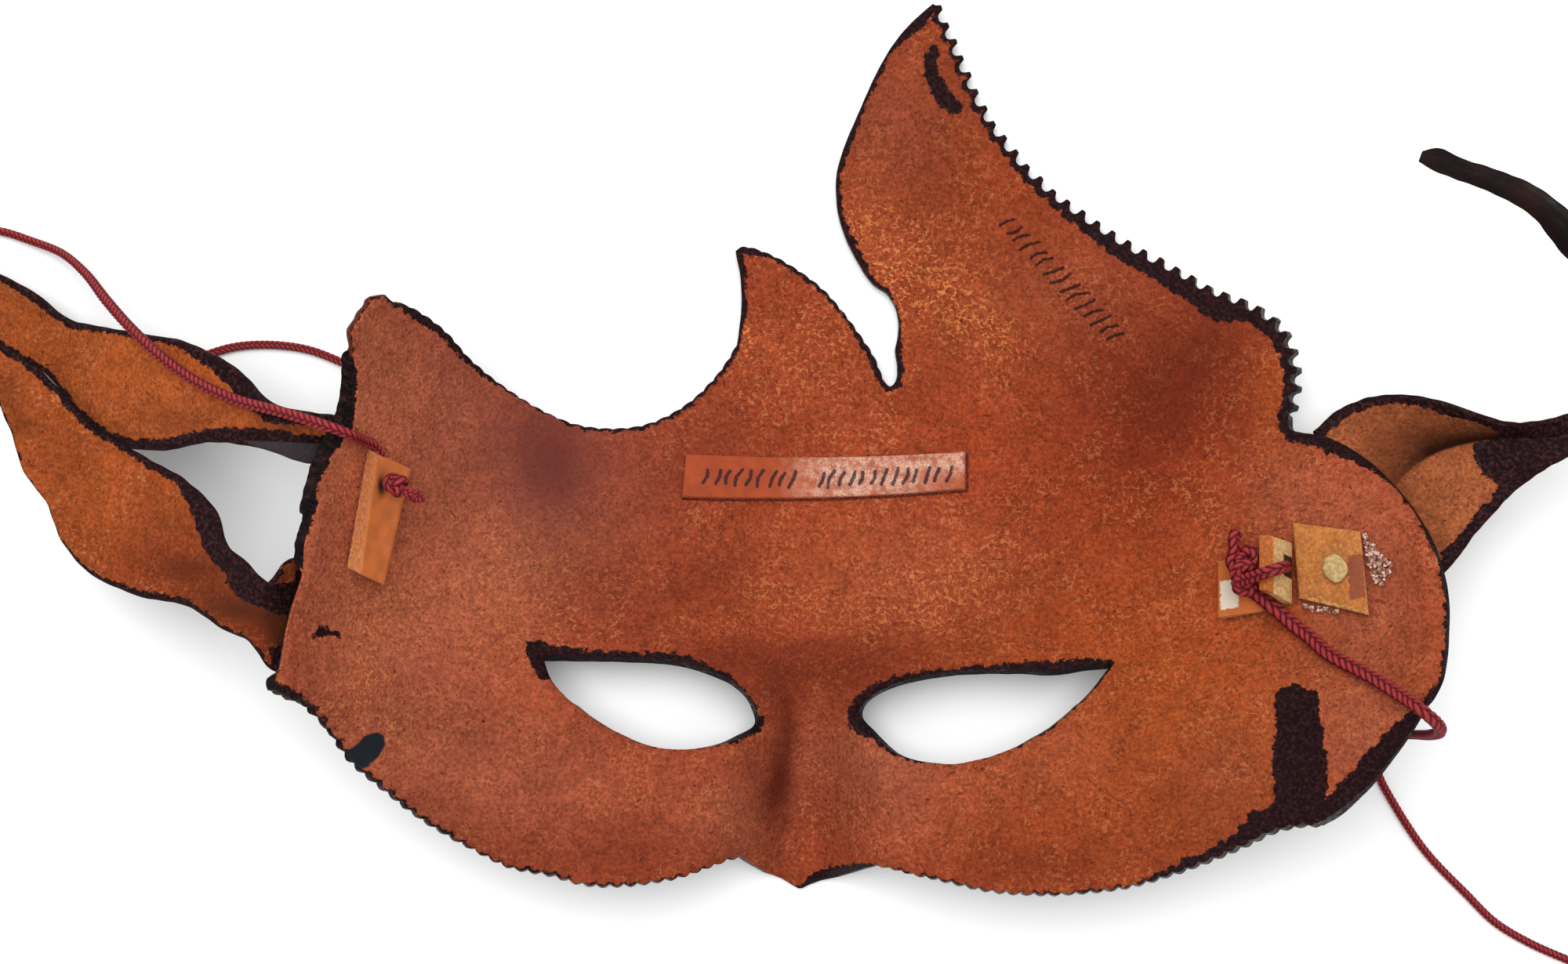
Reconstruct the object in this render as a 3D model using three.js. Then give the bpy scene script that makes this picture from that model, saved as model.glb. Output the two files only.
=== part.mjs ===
// A moulded leather half mask with a flame crest, lying face down with its suede inner side up.
// Millimetres, +Z up. The origin is at the middle of the mask's footprint, on the table.
//
// Every outline is drawn in plan, as it looks from straight above through a sight hole at sightHeight.
// A plan point (u, v) is where the line of sight meets the table, so a point that lies higher
// sits nearer to the middle than its plan point: see seenAt().

import * as THREE from 'three';
import { ConvexHull } from 'three/addons/math/ConvexHull.js';

// Driving dimensions
const sightHeight = 450;
const sheet = 3.0; // the mask's leather
const leafSheet = 2.4;
const strapSheet = 2.0;
const touchGap = 0.4; // kept between pieces that are glued together
const cordRadius = 0.85;
const tableGap = 0.1; // a cord's underside over the table
const cordSides = 8;
const cordSteps = 80; // at most
const meshStep = 5.6; // distance between the mask's inner mesh points
const noseStep = 3.4; // and in the narrow groove of the nose
const smoothStep = 3.2; // distance between points on a smooth rim
const middle = new THREE.Vector3(-5.48, 7.17, 0); // the footprint's middle, in plan

// Relief of the inner face
const temples = {
  left: { across: -0.967, up: 0.254, start: 38, bend: 42 },
  right: { across: 1, up: 0, start: 60, bend: 110 },
};
const forehead = { middle: 10, bend: 900, flatSpot: 0.6 };
const flameTip = { from: 55, bend: 250 };
const brow = { crest: 25, line: -24, rise: 6 };
const eyes = { from: -24, to: -46, rise: 10 };
const cheeks = { from: -55, rise: 0.26 };
const nose = { root: -29, slope: 0.49, middle: 4.4, lean: 0.045, width: 9.5, widen: 0.065 };

const smooth = (t) => {
  const s = Math.min(1, Math.max(0, t));
  return s * s * (3 - 2 * s);
};
const soft = (t, reach) => (t + Math.sqrt(t * t + reach * reach)) / 2;

function templeRise(side, u, v) {
  const past = Math.max(0, side.across * u + side.up * v - side.start);
  return (past * past) / (2 * side.bend);
}

// How deep the groove of the nose is below the cheeks
function noseDepth(u, v) {
  const depth = nose.slope * soft(nose.root - v, 4);
  const off = u - nose.middle - nose.lean * (v + 60);
  const width = nose.width + nose.widen * Math.max(0, -35 - v);
  return depth * Math.exp(-((off / width) ** 2));
}

// Height of the inner face over the table. The outer face is flat where the mask rests on the table.
function height(u, v) {
  let z = sheet - forehead.flatSpot + (u - forehead.middle) ** 2 / (2 * forehead.bend);
  z += Math.max(0, v - flameTip.from) ** 2 / (2 * flameTip.bend);
  z += brow.rise * smooth((brow.crest - v) / (brow.crest - brow.line));
  z += eyes.rise * smooth((eyes.from - v) / (eyes.from - eyes.to));
  z += cheeks.rise * soft(cheeks.from - v, 6);
  z += templeRise(temples.left, u, v) + templeRise(temples.right, u, v);
  z -= noseDepth(u, v);
  return Math.max(z, sheet);
}

// The point at height z that is seen at plan point (u, v)
function seenAt(u, v, z) {
  const nearer = 1 - z / sightHeight;
  return new THREE.Vector3(u * nearer, v * nearer, z);
}

const facePoint = (u, v) => seenAt(u, v, height(u, v));

function faceNormal(u, v) {
  const step = 0.3;
  const east = facePoint(u + step, v).sub(facePoint(u - step, v));
  const north = facePoint(u, v + step).sub(facePoint(u, v - step));
  return east.cross(north).normalize();
}

// The point seen at (u, v) that stands lift above the inner face
function overFace(u, v, lift) {
  return seenAt(u, v, height(u, v) + lift / faceNormal(u, v).z);
}

// Outlines in plan, as points [u, v], clockwise. Teeth are cut with pitch and depth; 0 is a smooth edge.
const rim = [
  {
    // crown, from the left peak to the small flame
    points: [
      [-81.8, 37.4], [-76.8, 35.2], [-70.4, 29.6], [-64, 24], [-56, 18.4], [-48, 13.9], [-41.6, 11.5],
      [-33.6, 10.9], [-27.2, 12], [-20.8, 15.2], [-16, 19.2], [-12, 24], [-9.6, 28],
    ],
    pitch: 2.9,
    depth: 0.3,
  },
  { points: [[-9.6, 28], [-8.8, 34.4], [-8.8, 40.8], [-9.9, 47.2]], depth: 0 },
  {
    points: [
      [-9.9, 47.2], [-8.3, 48], [-4, 46.9], [1.6, 44], [8, 39.2], [12.8, 33.6], [16.8, 28], [19.2, 22.4],
      [20.8, 20.3],
    ],
    pitch: 2.9,
    depth: 0.3,
  },
  {
    // slot, then the tall flame's left side up to its tip
    points: [
      [20.8, 20.3], [22.1, 19.5], [23.4, 21.6], [23.7, 24.8], [22.9, 34.4], [20.8, 39.2], [16, 47.2],
      [12.8, 52.8], [11.2, 60], [11.5, 64.8], [15.5, 76], [20, 85.6], [24, 91.2], [28, 94.9], [31.5, 97.6],
    ],
    depth: 0,
  },
  {
    points: [
      [31.5, 97.6], [32.8, 93.6], [37.6, 82.4], [41.6, 74.4], [48, 65.6], [54.4, 58.4], [64, 50.4],
      [73.6, 44], [83.2, 39.2], [89.6, 36.8], [96, 35.2], [100.8, 30.4], [103.2, 24.8], [104, 20],
      [102.9, 13.6],
    ],
    pitch: 3.7,
    depth: 1.6,
  },
  {
    // right temple
    points: [
      [102.9, 13.6], [103.2, 10.9], [105.6, 10.1], [110.4, 9.4], [115.8, 6.5], [121.2, 2], [127.2, -5.4],
      [131, -12.4], [133.3, -20.2], [134, -28], [133.3, -37.2], [130.9, -43.4], [127, -50.4],
      [122.4, -56.8], [117.8, -62.4], [111.8, -68], [108.8, -69.7],
    ],
    depth: 0,
  },
  {
    points: [
      [108.8, -69.7], [104, -70], [99.2, -71.2], [94.4, -73.6], [83.2, -78.4], [70.4, -82.4],
      [60.8, -83.7], [51.2, -84], [41.6, -83.2], [32, -81.1], [17.4, -78.2],
    ],
    pitch: 2.9,
    depth: 0.65,
  },
  { points: [[17.4, -78.2], [11.2, -80], [3.2, -83], [-2.4, -80], [-7.5, -76.6]], depth: 0 },
  {
    points: [
      [-7.5, -76.6], [-16, -79.2], [-22.4, -80.8], [-32, -82.1], [-40, -82.1], [-48, -80], [-56, -78.4],
      [-64, -74.4], [-72, -69.6], [-80, -63.2], [-86.4, -57.6], [-91.2, -51.2], [-95.2, -46.9],
      [-98.2, -45], [-102.6, -42.4],
    ],
    pitch: 2.9,
    depth: 0.65,
  },
  {
    // left edge, up to the left peak
    points: [
      [-102.6, -42.4], [-103, -40.6], [-102.4, -38.4], [-101.6, -33.6], [-101.2, -30.6], [-99.5, -24.6],
      [-97.4, -16], [-95.5, -7.2], [-95.2, -0.3], [-92.6, 4.6], [-88.3, 11.5], [-87.5, 20.6],
      [-86.9, 28], [-86, 32.4], [-84.4, 35.6], [-81.8, 37.4],
    ],
    depth: 0,
  },
];

const eyeHoles = [
  [
    [-49.2, -34.9], [-41.3, -35], [-30.6, -35.2], [-21.3, -36], [-15.2, -37.7], [-10.2, -40.2],
    [-6.9, -43.2], [-5.8, -46.4], [-5.9, -50.1], [-8.6, -51.8], [-12.6, -53.4], [-20.8, -54.4],
    [-26.4, -53.9], [-32.5, -51.8], [-38.7, -48.3], [-44.3, -43.7], [-47.7, -39.4], [-49.2, -34.9],
  ],
  [
    [67, -36.4], [61.3, -37], [55.7, -37.9], [46.9, -37.6], [34.7, -38.1], [28.6, -39.2],
    [24.3, -40.5], [19.7, -42.9], [16.5, -45.8], [15.5, -48.6], [17.6, -51.8], [20.3, -54.4], [24, -56],
    [33.6, -57.1], [39.8, -56.2], [45.9, -54.4], [52, -51.4], [56.6, -48.3], [60.8, -44.3], [67, -36.4],
  ],
];

function curveThrough(points) {
  const knots = points.map(([u, v, z = 0]) => new THREE.Vector3(u, v, z));
  return new THREE.CatmullRomCurve3(knots, false, 'centripetal');
}

// A stretch of rim as plan points, without its last one. Each tooth is a valley and a peak.
function cutEdge({ points, pitch, depth }) {
  const curve = curveThrough(points);
  const teeth = depth ? Math.round(curve.getLength() / pitch) : 0;
  const count = teeth ? 2 * teeth : Math.max(2, Math.round(curve.getLength() / smoothStep));
  const edge = [];
  for (let i = 0; i < count; i++) {
    const at = curve.getPointAt(i / count);
    const along = curve.getTangentAt(i / count);
    const out = i === 0 ? 0 : (i % 2 ? depth : -depth) / 2;
    edge.push([at.x - along.y * out, at.y + along.x * out]);
  }
  return edge;
}

// Whether plan point p is inside a closed outline
function inside(p, outline) {
  let odd = false;
  for (let i = 0, j = outline.length - 1; i < outline.length; j = i++) {
    const [au, av] = outline[i];
    const [bu, bv] = outline[j];
    if (av > p[1] !== bv > p[1] && p[0] < au + ((p[1] - av) * (bu - au)) / (bv - av)) odd = !odd;
  }
  return odd;
}

function edgeDistance(p, outline) {
  let best = Infinity;
  for (let i = 0; i < outline.length; i++) {
    const a = outline[i];
    const b = outline[(i + 1) % outline.length];
    const along = [b[0] - a[0], b[1] - a[1]];
    const reach = along[0] ** 2 + along[1] ** 2;
    const t = ((p[0] - a[0]) * along[0] + (p[1] - a[1]) * along[1]) / reach;
    const near = Math.min(1, Math.max(0, t));
    best = Math.min(best, Math.hypot(p[0] - a[0] - near * along[0], p[1] - a[1] - near * along[1]));
  }
  return best;
}

// Repeatable scatter from -0.5 to 0.5, which keeps four mesh points off one circle
function scatter(i, j) {
  const wave = Math.sin(i * 12.9898 + j * 78.233) * 43758.5453;
  return wave - Math.floor(wave) - 0.5;
}

// Rows of plan points in the sheet, clear of its edges, where wanted(u, v) holds
function fillPoints(outlines, step, wanted) {
  const found = [];
  const rows = Math.ceil(100 / (step * 0.866));
  const columns = Math.ceil(140 / step);
  for (let j = -rows; j <= rows; j++) {
    for (let i = -columns; i <= columns; i++) {
      const u = (i + (j % 2) / 2 + 0.25 * scatter(i, j)) * step;
      const v = (j + 0.25 * scatter(j, i + 7)) * step * 0.866;
      const within = inside([u, v], outlines[0]) && !outlines.slice(1).some((hole) => inside([u, v], hole));
      if (!within || !wanted(u, v)) continue;
      if (outlines.every((outline) => edgeDistance([u, v], outline) > 0.5 * step)) found.push([u, v]);
    }
  }
  return found;
}

// Delaunay triangles of plan points: the underside of the hull of the points lifted onto a paraboloid
function delaunay(points) {
  const lifted = points.map(([u, v], index) => {
    const p = new THREE.Vector3(u, v, (u * u + v * v) / 100);
    p.index = index;
    return p;
  });
  const triangles = [];
  for (const face of new ConvexHull().setFromPoints(lifted).faces) {
    if (face.normal.z > -1e-9) continue;
    const corner = face.edge;
    triangles.push([corner.head().point.index, corner.prev.head().point.index, corner.next.head().point.index]);
  }
  return triangles;
}

const edgeKey = (a, b) => (a < b ? `${a},${b}` : `${b},${a}`);

// Triangles that fill the outlines, with every outline edge kept. A missing edge is halved and tried again.
function meshSheet(outlines, fill) {
  for (let pass = 0; pass < 12; pass++) {
    const points = outlines.flat().concat(fill);
    const triangles = delaunay(points).filter((t) => {
      const centre = [0, 1].map((k) => (points[t[0]][k] + points[t[1]][k] + points[t[2]][k]) / 3);
      return inside(centre, outlines[0]) && !outlines.slice(1).some((hole) => inside(centre, hole));
    });
    const edges = new Set();
    for (const [a, b, c] of triangles) {
      edges.add(edgeKey(a, b)).add(edgeKey(b, c)).add(edgeKey(c, a));
    }
    let start = 0;
    let missing = 0;
    outlines = outlines.map((outline) => {
      const count = outline.length;
      const refined = outline.flatMap((p, i) => {
        const next = (i + 1) % count;
        if (edges.has(edgeKey(start + i, start + next))) return [p];
        missing++;
        const q = outline[next];
        return [p, [(p[0] + q[0]) / 2, (p[1] + q[1]) / 2]];
      });
      start += count;
      return refined;
    });
    if (!missing) return { points, triangles };
  }
  throw new Error('the outline has edges that the mesh does not keep');
}

function geometryOf(vertices, triangles) {
  const geometry = new THREE.BufferGeometry();
  geometry.setAttribute('position', new THREE.Float32BufferAttribute(vertices.flatMap((p) => p.toArray()), 3));
  geometry.setIndex(triangles.flat());
  geometry.computeVertexNormals();
  return geometry;
}

// A sheet of leather: upper face points, their triangles facing up, and the lower face under them
function closedSheet(upper, lower, triangles) {
  const count = upper.length;
  const open = new Map();
  for (const [a, b, c] of triangles) {
    for (const [p, q] of [[a, b], [b, c], [c, a]]) {
      if (!open.delete(`${q},${p}`)) open.set(`${p},${q}`, [p, q]);
    }
  }
  const under = triangles.map(([a, b, c]) => [a + count, c + count, b + count]);
  const walls = [...open.values()].flatMap(([p, q]) => [[p, p + count, q], [q, p + count, q + count]]);
  return geometryOf([...upper, ...lower], [...triangles, ...under, ...walls]);
}

function maskShell() {
  const outlines = [rim.flatMap(cutEdge), ...eyeHoles.map((points) => cutEdge({ points, depth: 0 }))];
  const byNose = (u, v) => Math.abs(u - nose.middle) < 16 && v < -32;
  const fill = [
    ...fillPoints(outlines, meshStep, (u, v) => !byNose(u, v)),
    ...fillPoints(outlines, noseStep, byNose),
  ];
  const { points, triangles } = meshSheet(outlines, fill);
  const facingUp = triangles.map(([a, b, c]) => {
    const [p, q, r] = [points[a], points[b], points[c]];
    const turn = (q[0] - p[0]) * (r[1] - p[1]) - (q[1] - p[1]) * (r[0] - p[0]);
    return turn > 0 ? [a, b, c] : [a, c, b];
  });
  const upper = points.map(([u, v]) => facePoint(u, v));
  const lower = points.map(([u, v], i) => {
    const p = upper[i].clone().addScaledVector(faceNormal(u, v), -sheet);
    p.z = Math.max(p.z, 0);
    return p;
  });
  return closedSheet(upper, lower, facingUp);
}

// A sheet from a grid of points on its upper face: grid[i][j], with j running to the right of i
function gridSheet(grid, thickness) {
  const rows = grid.length;
  const columns = grid[0].length;
  const at = (i, j) => grid[Math.min(rows - 1, Math.max(0, i))][Math.min(columns - 1, Math.max(0, j))];
  const upper = grid.flat();
  const lower = upper.map((p, n) => {
    const i = Math.floor(n / columns);
    const j = n % columns;
    const along = at(i + 1, j).clone().sub(at(i - 1, j));
    const right = at(i, j + 1).clone().sub(at(i, j - 1));
    return p.clone().addScaledVector(right.cross(along).normalize(), -thickness);
  });
  const triangles = [];
  for (let i = 0; i + 1 < rows; i++) {
    for (let j = 0; j + 1 < columns; j++) {
      const a = i * columns + j;
      triangles.push([a, a + 1, a + columns], [a + 1, a + columns + 1, a + columns]);
    }
  }
  return closedSheet(upper, lower, triangles);
}

// A leaf along its stations, from root to tip: [left edge, vein, right edge], each [u, v, z]
function leaf(stations, stepsPerStation = 2, columns = 4) {
  const rails = [0, 1, 2].map((k) => curveThrough(stations.map((station) => station[k])));
  const rings = (stations.length - 1) * stepsPerStation;
  const grid = [];
  for (let i = 0; i <= rings; i++) {
    const [left, vein, right] = rails.map((rail) => rail.getPoint(i / rings));
    grid.push(
      Array.from({ length: columns + 1 }, (_, j) => {
        const s = j / columns;
        const p = left.clone().multiplyScalar((1 - s) * (1 - 2 * s));
        p.addScaledVector(vein, 4 * s * (1 - s)).addScaledVector(right, s * (2 * s - 1));
        return seenAt(p.x, p.y, p.z);
      }),
    );
  }
  return gridSheet(grid, leafSheet);
}

const upperLeftLeaf = [
  [[-91.5, 3.6, 32.9], [-89.5, 8.2, 32.9], [-88.3, 13.2, 32.4]],
  [[-98, 4, 35.9], [-97, 9.3, 36.9], [-96.2, 14.2, 36.4]],
  [[-107.2, 6.9, 36.9], [-106, 11.5, 37.9], [-104.6, 16.2, 37.4]],
  [[-117.1, 8.3, 32.4], [-114.6, 15.8, 33.9], [-112.3, 23.2, 34.4]],
  [[-127.4, 6.6, 25.4], [-125.2, 17.5, 27.4], [-122.9, 28.5, 28.9]],
  [[-137.6, 8.2, 16.9], [-134.8, 19.2, 20.4], [-132, 30.2, 22.4]],
  [[-144.8, 14.4, 12.5], [-142.4, 23, 14.5], [-140, 31.5, 17]],
  [[-150.1, 21.6, 9], [-148.4, 27.3, 10], [-146.6, 33, 13]],
  [[-156, 25.3, 7.1], [-154.6, 31.8, 7.5], [-153.3, 38.2, 9.5]],
  [[-161.6, 28.8, 6.4], [-160.8, 35.4, 6.4], [-160, 41.9, 7.8]],
  [[-171.2, 39.8, 6.3], [-170.4, 43.4, 6.3], [-169.6, 47, 7.1]],
  [[-179, 52.2, 8.6], [-178.7, 52.7, 8.6], [-178.4, 53.2, 8.6]],
];

const lowerLeftLeaf = [
  [[-97.2, -37, 37.7], [-96.2, -29, 35.4], [-95.2, -21.5, 35.2]],
  [[-103.4, -35.4, 43], [-102.6, -28.6, 42.4], [-101.8, -21.2, 42.8]],
  [[-109.1, -32.5, 44.2], [-107.4, -26, 44.7], [-105.6, -19.7, 46.2]],
  [[-114.4, -29.4, 42.5], [-112.5, -22.8, 42], [-111.2, -16.8, 44.5]],
  [[-121.6, -24.5, 38.2], [-118, -18.6, 37.7], [-115, -13.4, 40.7]],
  [[-132, -22.9, 32], [-124.4, -14, 34], [-117.6, -5.7, 37]],
  [[-141.4, -18.4, 26.7], [-132.2, -9.3, 29.7], [-122.9, -0.2, 32.7]],
  [[-146.6, -12.2, 24], [-138.4, -4.2, 26], [-130.2, 3.8, 28.5]],
  [[-149.6, -4.8, 22.2], [-142.7, 0.9, 23.7], [-135.8, 6.6, 25.7]],
  [[-154.4, 1.6, 21], [-147.9, 5.7, 22], [-141.4, 9.8, 23.5]],
  [[-157.3, 8.8, 19.2], [-153.6, 14.6, 19.2], [-149.9, 20.3, 20.2]],
  [[-159.2, 13.6, 18], [-157, 19.1, 18], [-154.9, 24.6, 18.5]],
  [[-161.9, 19.2, 17.2], [-161, 23.6, 17.2], [-160, 28, 17.4]],
  [[-169.9, 34, 16], [-169.6, 34.4, 16], [-169.3, 34.8, 16]],
];

// The right leaf folds along its vein, then runs out into a ribbon that rolls up and back over itself
const rightLeaf = [
  [[109.6, 8.2, 16.2], [118, -5, 22.6], [125.6, -18.4, 29.6]],
  [[113.8, 13.8, 17.7], [123.4, -1.6, 21.8], [132.4, -19.4, 31.2]],
  [[120, 15.4, 20.6], [128, 3, 21.1], [137, -15.4, 31.1]],
  [[126.4, 15.9, 23.9], [132, 5.6, 20.9], [140.2, -11, 29.9]],
  [[133.1, 15.1, 26.8], [136.8, 7.4, 21.8], [143, -7.6, 28.8]],
  [[141, 12.6, 28.1], [143, 8.4, 23.1], [147, -3, 27.6]],
  [[149.6, 10.4, 27.9], [150.8, 8.6, 24.4], [153, 1.7, 26.3]],
  [[160, 12, 27.7], [160, 9.2, 25.7], [160, 6, 26.3]],
  [[170, 18, 31.1], [171.6, 14, 29.9], [173, 10.4, 31.1]],
  [[173.4, 27.4, 39.9], [176, 23.8, 39.7], [178.4, 20.2, 40.7]],
  [[170, 38.6, 48.1], [172, 34.4, 48.3], [173.8, 30.2, 48.7]],
  [[165.2, 47.8, 49.9], [166.4, 43.2, 50.7], [167.4, 38.8, 50.5]],
  [[160, 54.4, 49.8], [160, 50.2, 50.8], [160, 46.2, 50.2]],
  [[152.6, 59.8, 49], [152.9, 57.2, 50], [153.2, 54.6, 49.6]],
  [[145.4, 62.9, 48.4], [145, 61.1, 49], [144.6, 59.4, 48.8]],
  [[138.2, 64.6, 47.7], [137.6, 63, 48.2], [137, 61.4, 48]],
  [[130.8, 66.6, 47.2], [130.2, 65.4, 47.4], [129.6, 64.2, 47.2]],
];

// A flat strap piece glued on the inner face: its top corners in plan, from the lower left, anticlockwise
function glued(corners, thickness, rows, columns) {
  const [a, b, c, d] = corners;
  const grid = [];
  for (let i = 0; i <= rows; i++) {
    const s = i / rows;
    grid.push(
      Array.from({ length: columns + 1 }, (_, j) => {
        const t = j / columns;
        const mix = (k) => (1 - s) * ((1 - t) * a[k] + t * b[k]) + s * ((1 - t) * d[k] + t * c[k]);
        return overFace(mix(0), mix(1), touchGap + thickness);
      }),
    );
  }
  return gridSheet(grid, thickness);
}

const labelStrip = { corners: [[-20.8, -3.2], [36.3, -1.6], [36.6, 6.1], [-20.2, 5.6]], thickness: 1.2 };
const leftTab = { corners: [[-86.6, -18.9], [-81.4, -21.1], [-76.4, 2.1], [-83.7, 6.7]], thickness: 3.6 };
const rightPatch = { corners: [[105.1, -23.7], [119.4, -27.2], [117.6, -10.1], [103.8, -8.3]], thickness: 1.6 };

// The right tab is a strap glued down at its left, folded up and leaning back over itself.
// Its stations along the strap's smooth side: [u, upper v, lower v, height over the inner face]
const rightTab = [
  [88.6, -16.2, -27.6, 2.4],
  [93, -15.2, -27, 2.4],
  [97, -14.2, -26.4, 2.4],
  [99.8, -13.4, -25.6, 2.4],
  [101.2, -12.9, -25, 2.9],
  [101.5, -12.6, -24.8, 3.8],
  [101, -12.3, -24.4, 5],
  [99.2, -11.6, -23.2, 7.4],
  [97, -10.9, -22, 9.8],
];

function foldedTab() {
  const rows = rightTab.map(([u, high, low, lift]) =>
    [0, 1, 2, 3].map((j) => overFace(u, high + ((low - high) * j) / 3, lift)),
  );
  return gridSheet(rows, strapSheet);
}

// A round pale peg set through the right patch
const rightPeg = { at: [112.5, -17.8], radius: 2.6, tall: 0.8 };

function peg() {
  const { at, radius, tall } = rightPeg;
  const foot = touchGap + rightPatch.thickness + touchGap;
  const disc = new THREE.CylinderGeometry(0.94 * radius, radius, tall, 14).translate(0, tall / 2, 0);
  const upright = new THREE.Quaternion().setFromUnitVectors(new THREE.Vector3(0, 1, 0), faceNormal(...at));
  const centre = overFace(...at, foot);
  return disc.applyQuaternion(upright).translate(centre.x, centre.y, centre.z);
}

// Cord routes from the tab to the coil: plan points, each with its height where it is off the inner face
const overTable = cordRadius + tableGap;
const overSuede = cordRadius + touchGap + 0.3;

const leftRoute = [
  [-83.4, 7.3], [-86, 8.6], [-88.6, 9.7, 43.6], [-92, 11, 45.4], [-96.6, 12.5, 44.6],
  [-102.9, 14.4, 42.6], [-111.4, 16.6, 38.8], [-120, 20.5, 33.8], [-127.8, 26.2, 28.6],
  [-133.6, 31.7, 23.4], [-138.4, 37.2, 16.6],
  [-142.6, 42.6, 9.6], [-147.6, 46.8, 4.2], [-153.6, 49.2, 1.9], [-160, 51.2, overTable],
  [-167, 51.6, overTable], [-172.2, 48.6, overTable], [-173, 42.6, overTable], [-169, 38, overTable],
  [-162.6, 35.2, overTable], [-155.6, 32.2, overTable], [-148, 27.4, overTable], [-140, 23, overTable],
  [-131.4, 21.6, overTable], [-123.6, 23.4, overTable], [-117.1, 26.2, overTable],
  [-111.4, 27.7, overTable], [-104.3, 28, overTable], [-97.1, 27, overTable], [-90.4, 24.5, overTable],
  [-85, 22, overTable], [-80.4, 19.6, overTable], [-76.9, 18.4, overTable],
  [-74.5, 18.2, overTable],
];

const rightRoute = [
  [95.6, -22.2, 23.2], [97.9, -24, 23.7], [99.8, -25.7, 24.9], [102.2, -27.7, 25.4], [104.8, -29.9, 26.9],
  [106.9, -31.4],
  [111.2, -35.2], [119.7, -39.8], [126.6, -44.2], [130.4, -46.8, 52.4], [133, -49, 51.4],
  [134, -50.8, 46.8], [132, -51.6, 38], [128.4, -51.6, 26], [124.8, -51.8, 14], [121.8, -53, 4.8],
  [120.8, -55.8, 1.7], [121.4, -59.8, overTable],
  [124.2, -65.3, overTable], [130.9, -75.4, overTable], [139.4, -84.3, overTable],
  [145, -89.8, overTable], [151.7, -93.9, overTable], [160, -97.6, overTable], [165.6, -99.8, overTable],
  [169.2, -101.3, overTable],
];

// The coils lie on the table: their middles in plan, and the ring of turns
const coilRing = { radius: 13.4, width: 3.6, tall: 3.5 };
const leftCoil = [-71.6, 2];
const rightCoil = [178.4, -87.6];
const endKnot = 1.8;

// Knots: plan point, height over the inner face, and radii across, up and over
const leftKnot = { at: [-79.2, -0.5], lift: 6.4, radii: [2.1, 2.3, 1.9] };
const rightKnot = { at: [93.6, -16.6], lift: 5.6, radii: [2.6, 5.4, 2.6] };

const routePoint = ([u, v, z]) => (z === undefined ? overFace(u, v, overSuede) : seenAt(u, v, z));

function cordTube(route) {
  const curve = new THREE.CatmullRomCurve3(route.map(routePoint), false, 'centripetal');
  const corners = Array.from({ length: cordSides }, (_, i) => {
    const turn = (2 * Math.PI * i) / cordSides;
    return new THREE.Vector2(Math.cos(turn), Math.sin(turn)).multiplyScalar(cordRadius);
  });
  const steps = Math.min(cordSteps, Math.round(curve.getLength() / (5.4 * cordRadius)));
  return new THREE.ExtrudeGeometry(new THREE.Shape(corners), { extrudePath: curve, steps, bevelEnabled: false });
}

function coil([u, v]) {
  const { radius, width, tall } = coilRing;
  const corners = 6;
  const section = Array.from({ length: corners + 1 }, (_, i) => {
    const turn = (2 * Math.PI * (i % corners)) / corners;
    return new THREE.Vector2(radius + (width / 2) * Math.cos(turn), (tall / 2) * Math.sin(turn));
  });
  const centre = seenAt(u, v, tableGap + tall / 2);
  return new THREE.LatheGeometry(section, 24).rotateX(Math.PI / 2).translate(centre.x, centre.y, centre.z);
}

function ball([x, y, z], centre) {
  return new THREE.IcosahedronGeometry(1, 1).scale(x, y, z).translate(centre.x, centre.y, centre.z);
}

const tabKnot = ({ at, lift, radii }) => ball(radii, overFace(...at, lift));

// The knot on a cord's far end lies on the table inside the coil.
function farKnot([u, v]) {
  const centre = seenAt(u, v, tableGap + endKnot);
  centre.x += coilRing.radius - coilRing.width / 2 - touchGap - endKnot;
  return ball([endKnot, endKnot, endKnot], centre);
}

// Assembly
const colours = {
  suede: 0x9a4a2c,
  leafSuede: 0xa85424,
  strap: 0xbb6430,
  peg: 0xcdbb80,
  cord: 0x8c2230,
};

function piece(name, geometry, colour, roughness) {
  const material = new THREE.MeshStandardMaterial({ color: colours[colour], roughness, metalness: 0 });
  const mesh = new THREE.Mesh(geometry, material);
  mesh.name = name;
  return mesh;
}

const mask = new THREE.Group();
mask.add(piece('mask_shell', maskShell(), 'suede', 0.95));
mask.add(piece('upper_left_leaf', leaf(upperLeftLeaf), 'leafSuede', 0.95));
mask.add(piece('lower_left_leaf', leaf(lowerLeftLeaf), 'leafSuede', 0.95));
mask.add(piece('right_leaf', leaf(rightLeaf), 'leafSuede', 0.95));
mask.add(piece('label_strip', glued(labelStrip.corners, labelStrip.thickness, 2, 12), 'strap', 0.5));
mask.add(piece('left_tab', glued(leftTab.corners, leftTab.thickness, 4, 2), 'strap', 0.5));
mask.add(piece('right_patch', glued(rightPatch.corners, rightPatch.thickness, 3, 3), 'strap', 0.9));
mask.add(piece('right_tab', foldedTab(), 'strap', 0.6));
mask.add(piece('right_peg', peg(), 'peg', 0.7));
for (const [side, route, middleOfCoil, knot] of [
  ['left', leftRoute, leftCoil, leftKnot],
  ['right', rightRoute, rightCoil, rightKnot],
]) {
  mask.add(piece(`${side}_cord`, cordTube(route), 'cord', 0.7));
  mask.add(piece(`${side}_coil`, coil(middleOfCoil), 'cord', 0.7));
  mask.add(piece(`${side}_knot`, tabKnot(knot), 'cord', 0.7));
  mask.add(piece(`${side}_end_knot`, farKnot(middleOfCoil), 'cord', 0.7));
}
mask.position.copy(middle).negate();

export default mask;
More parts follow.
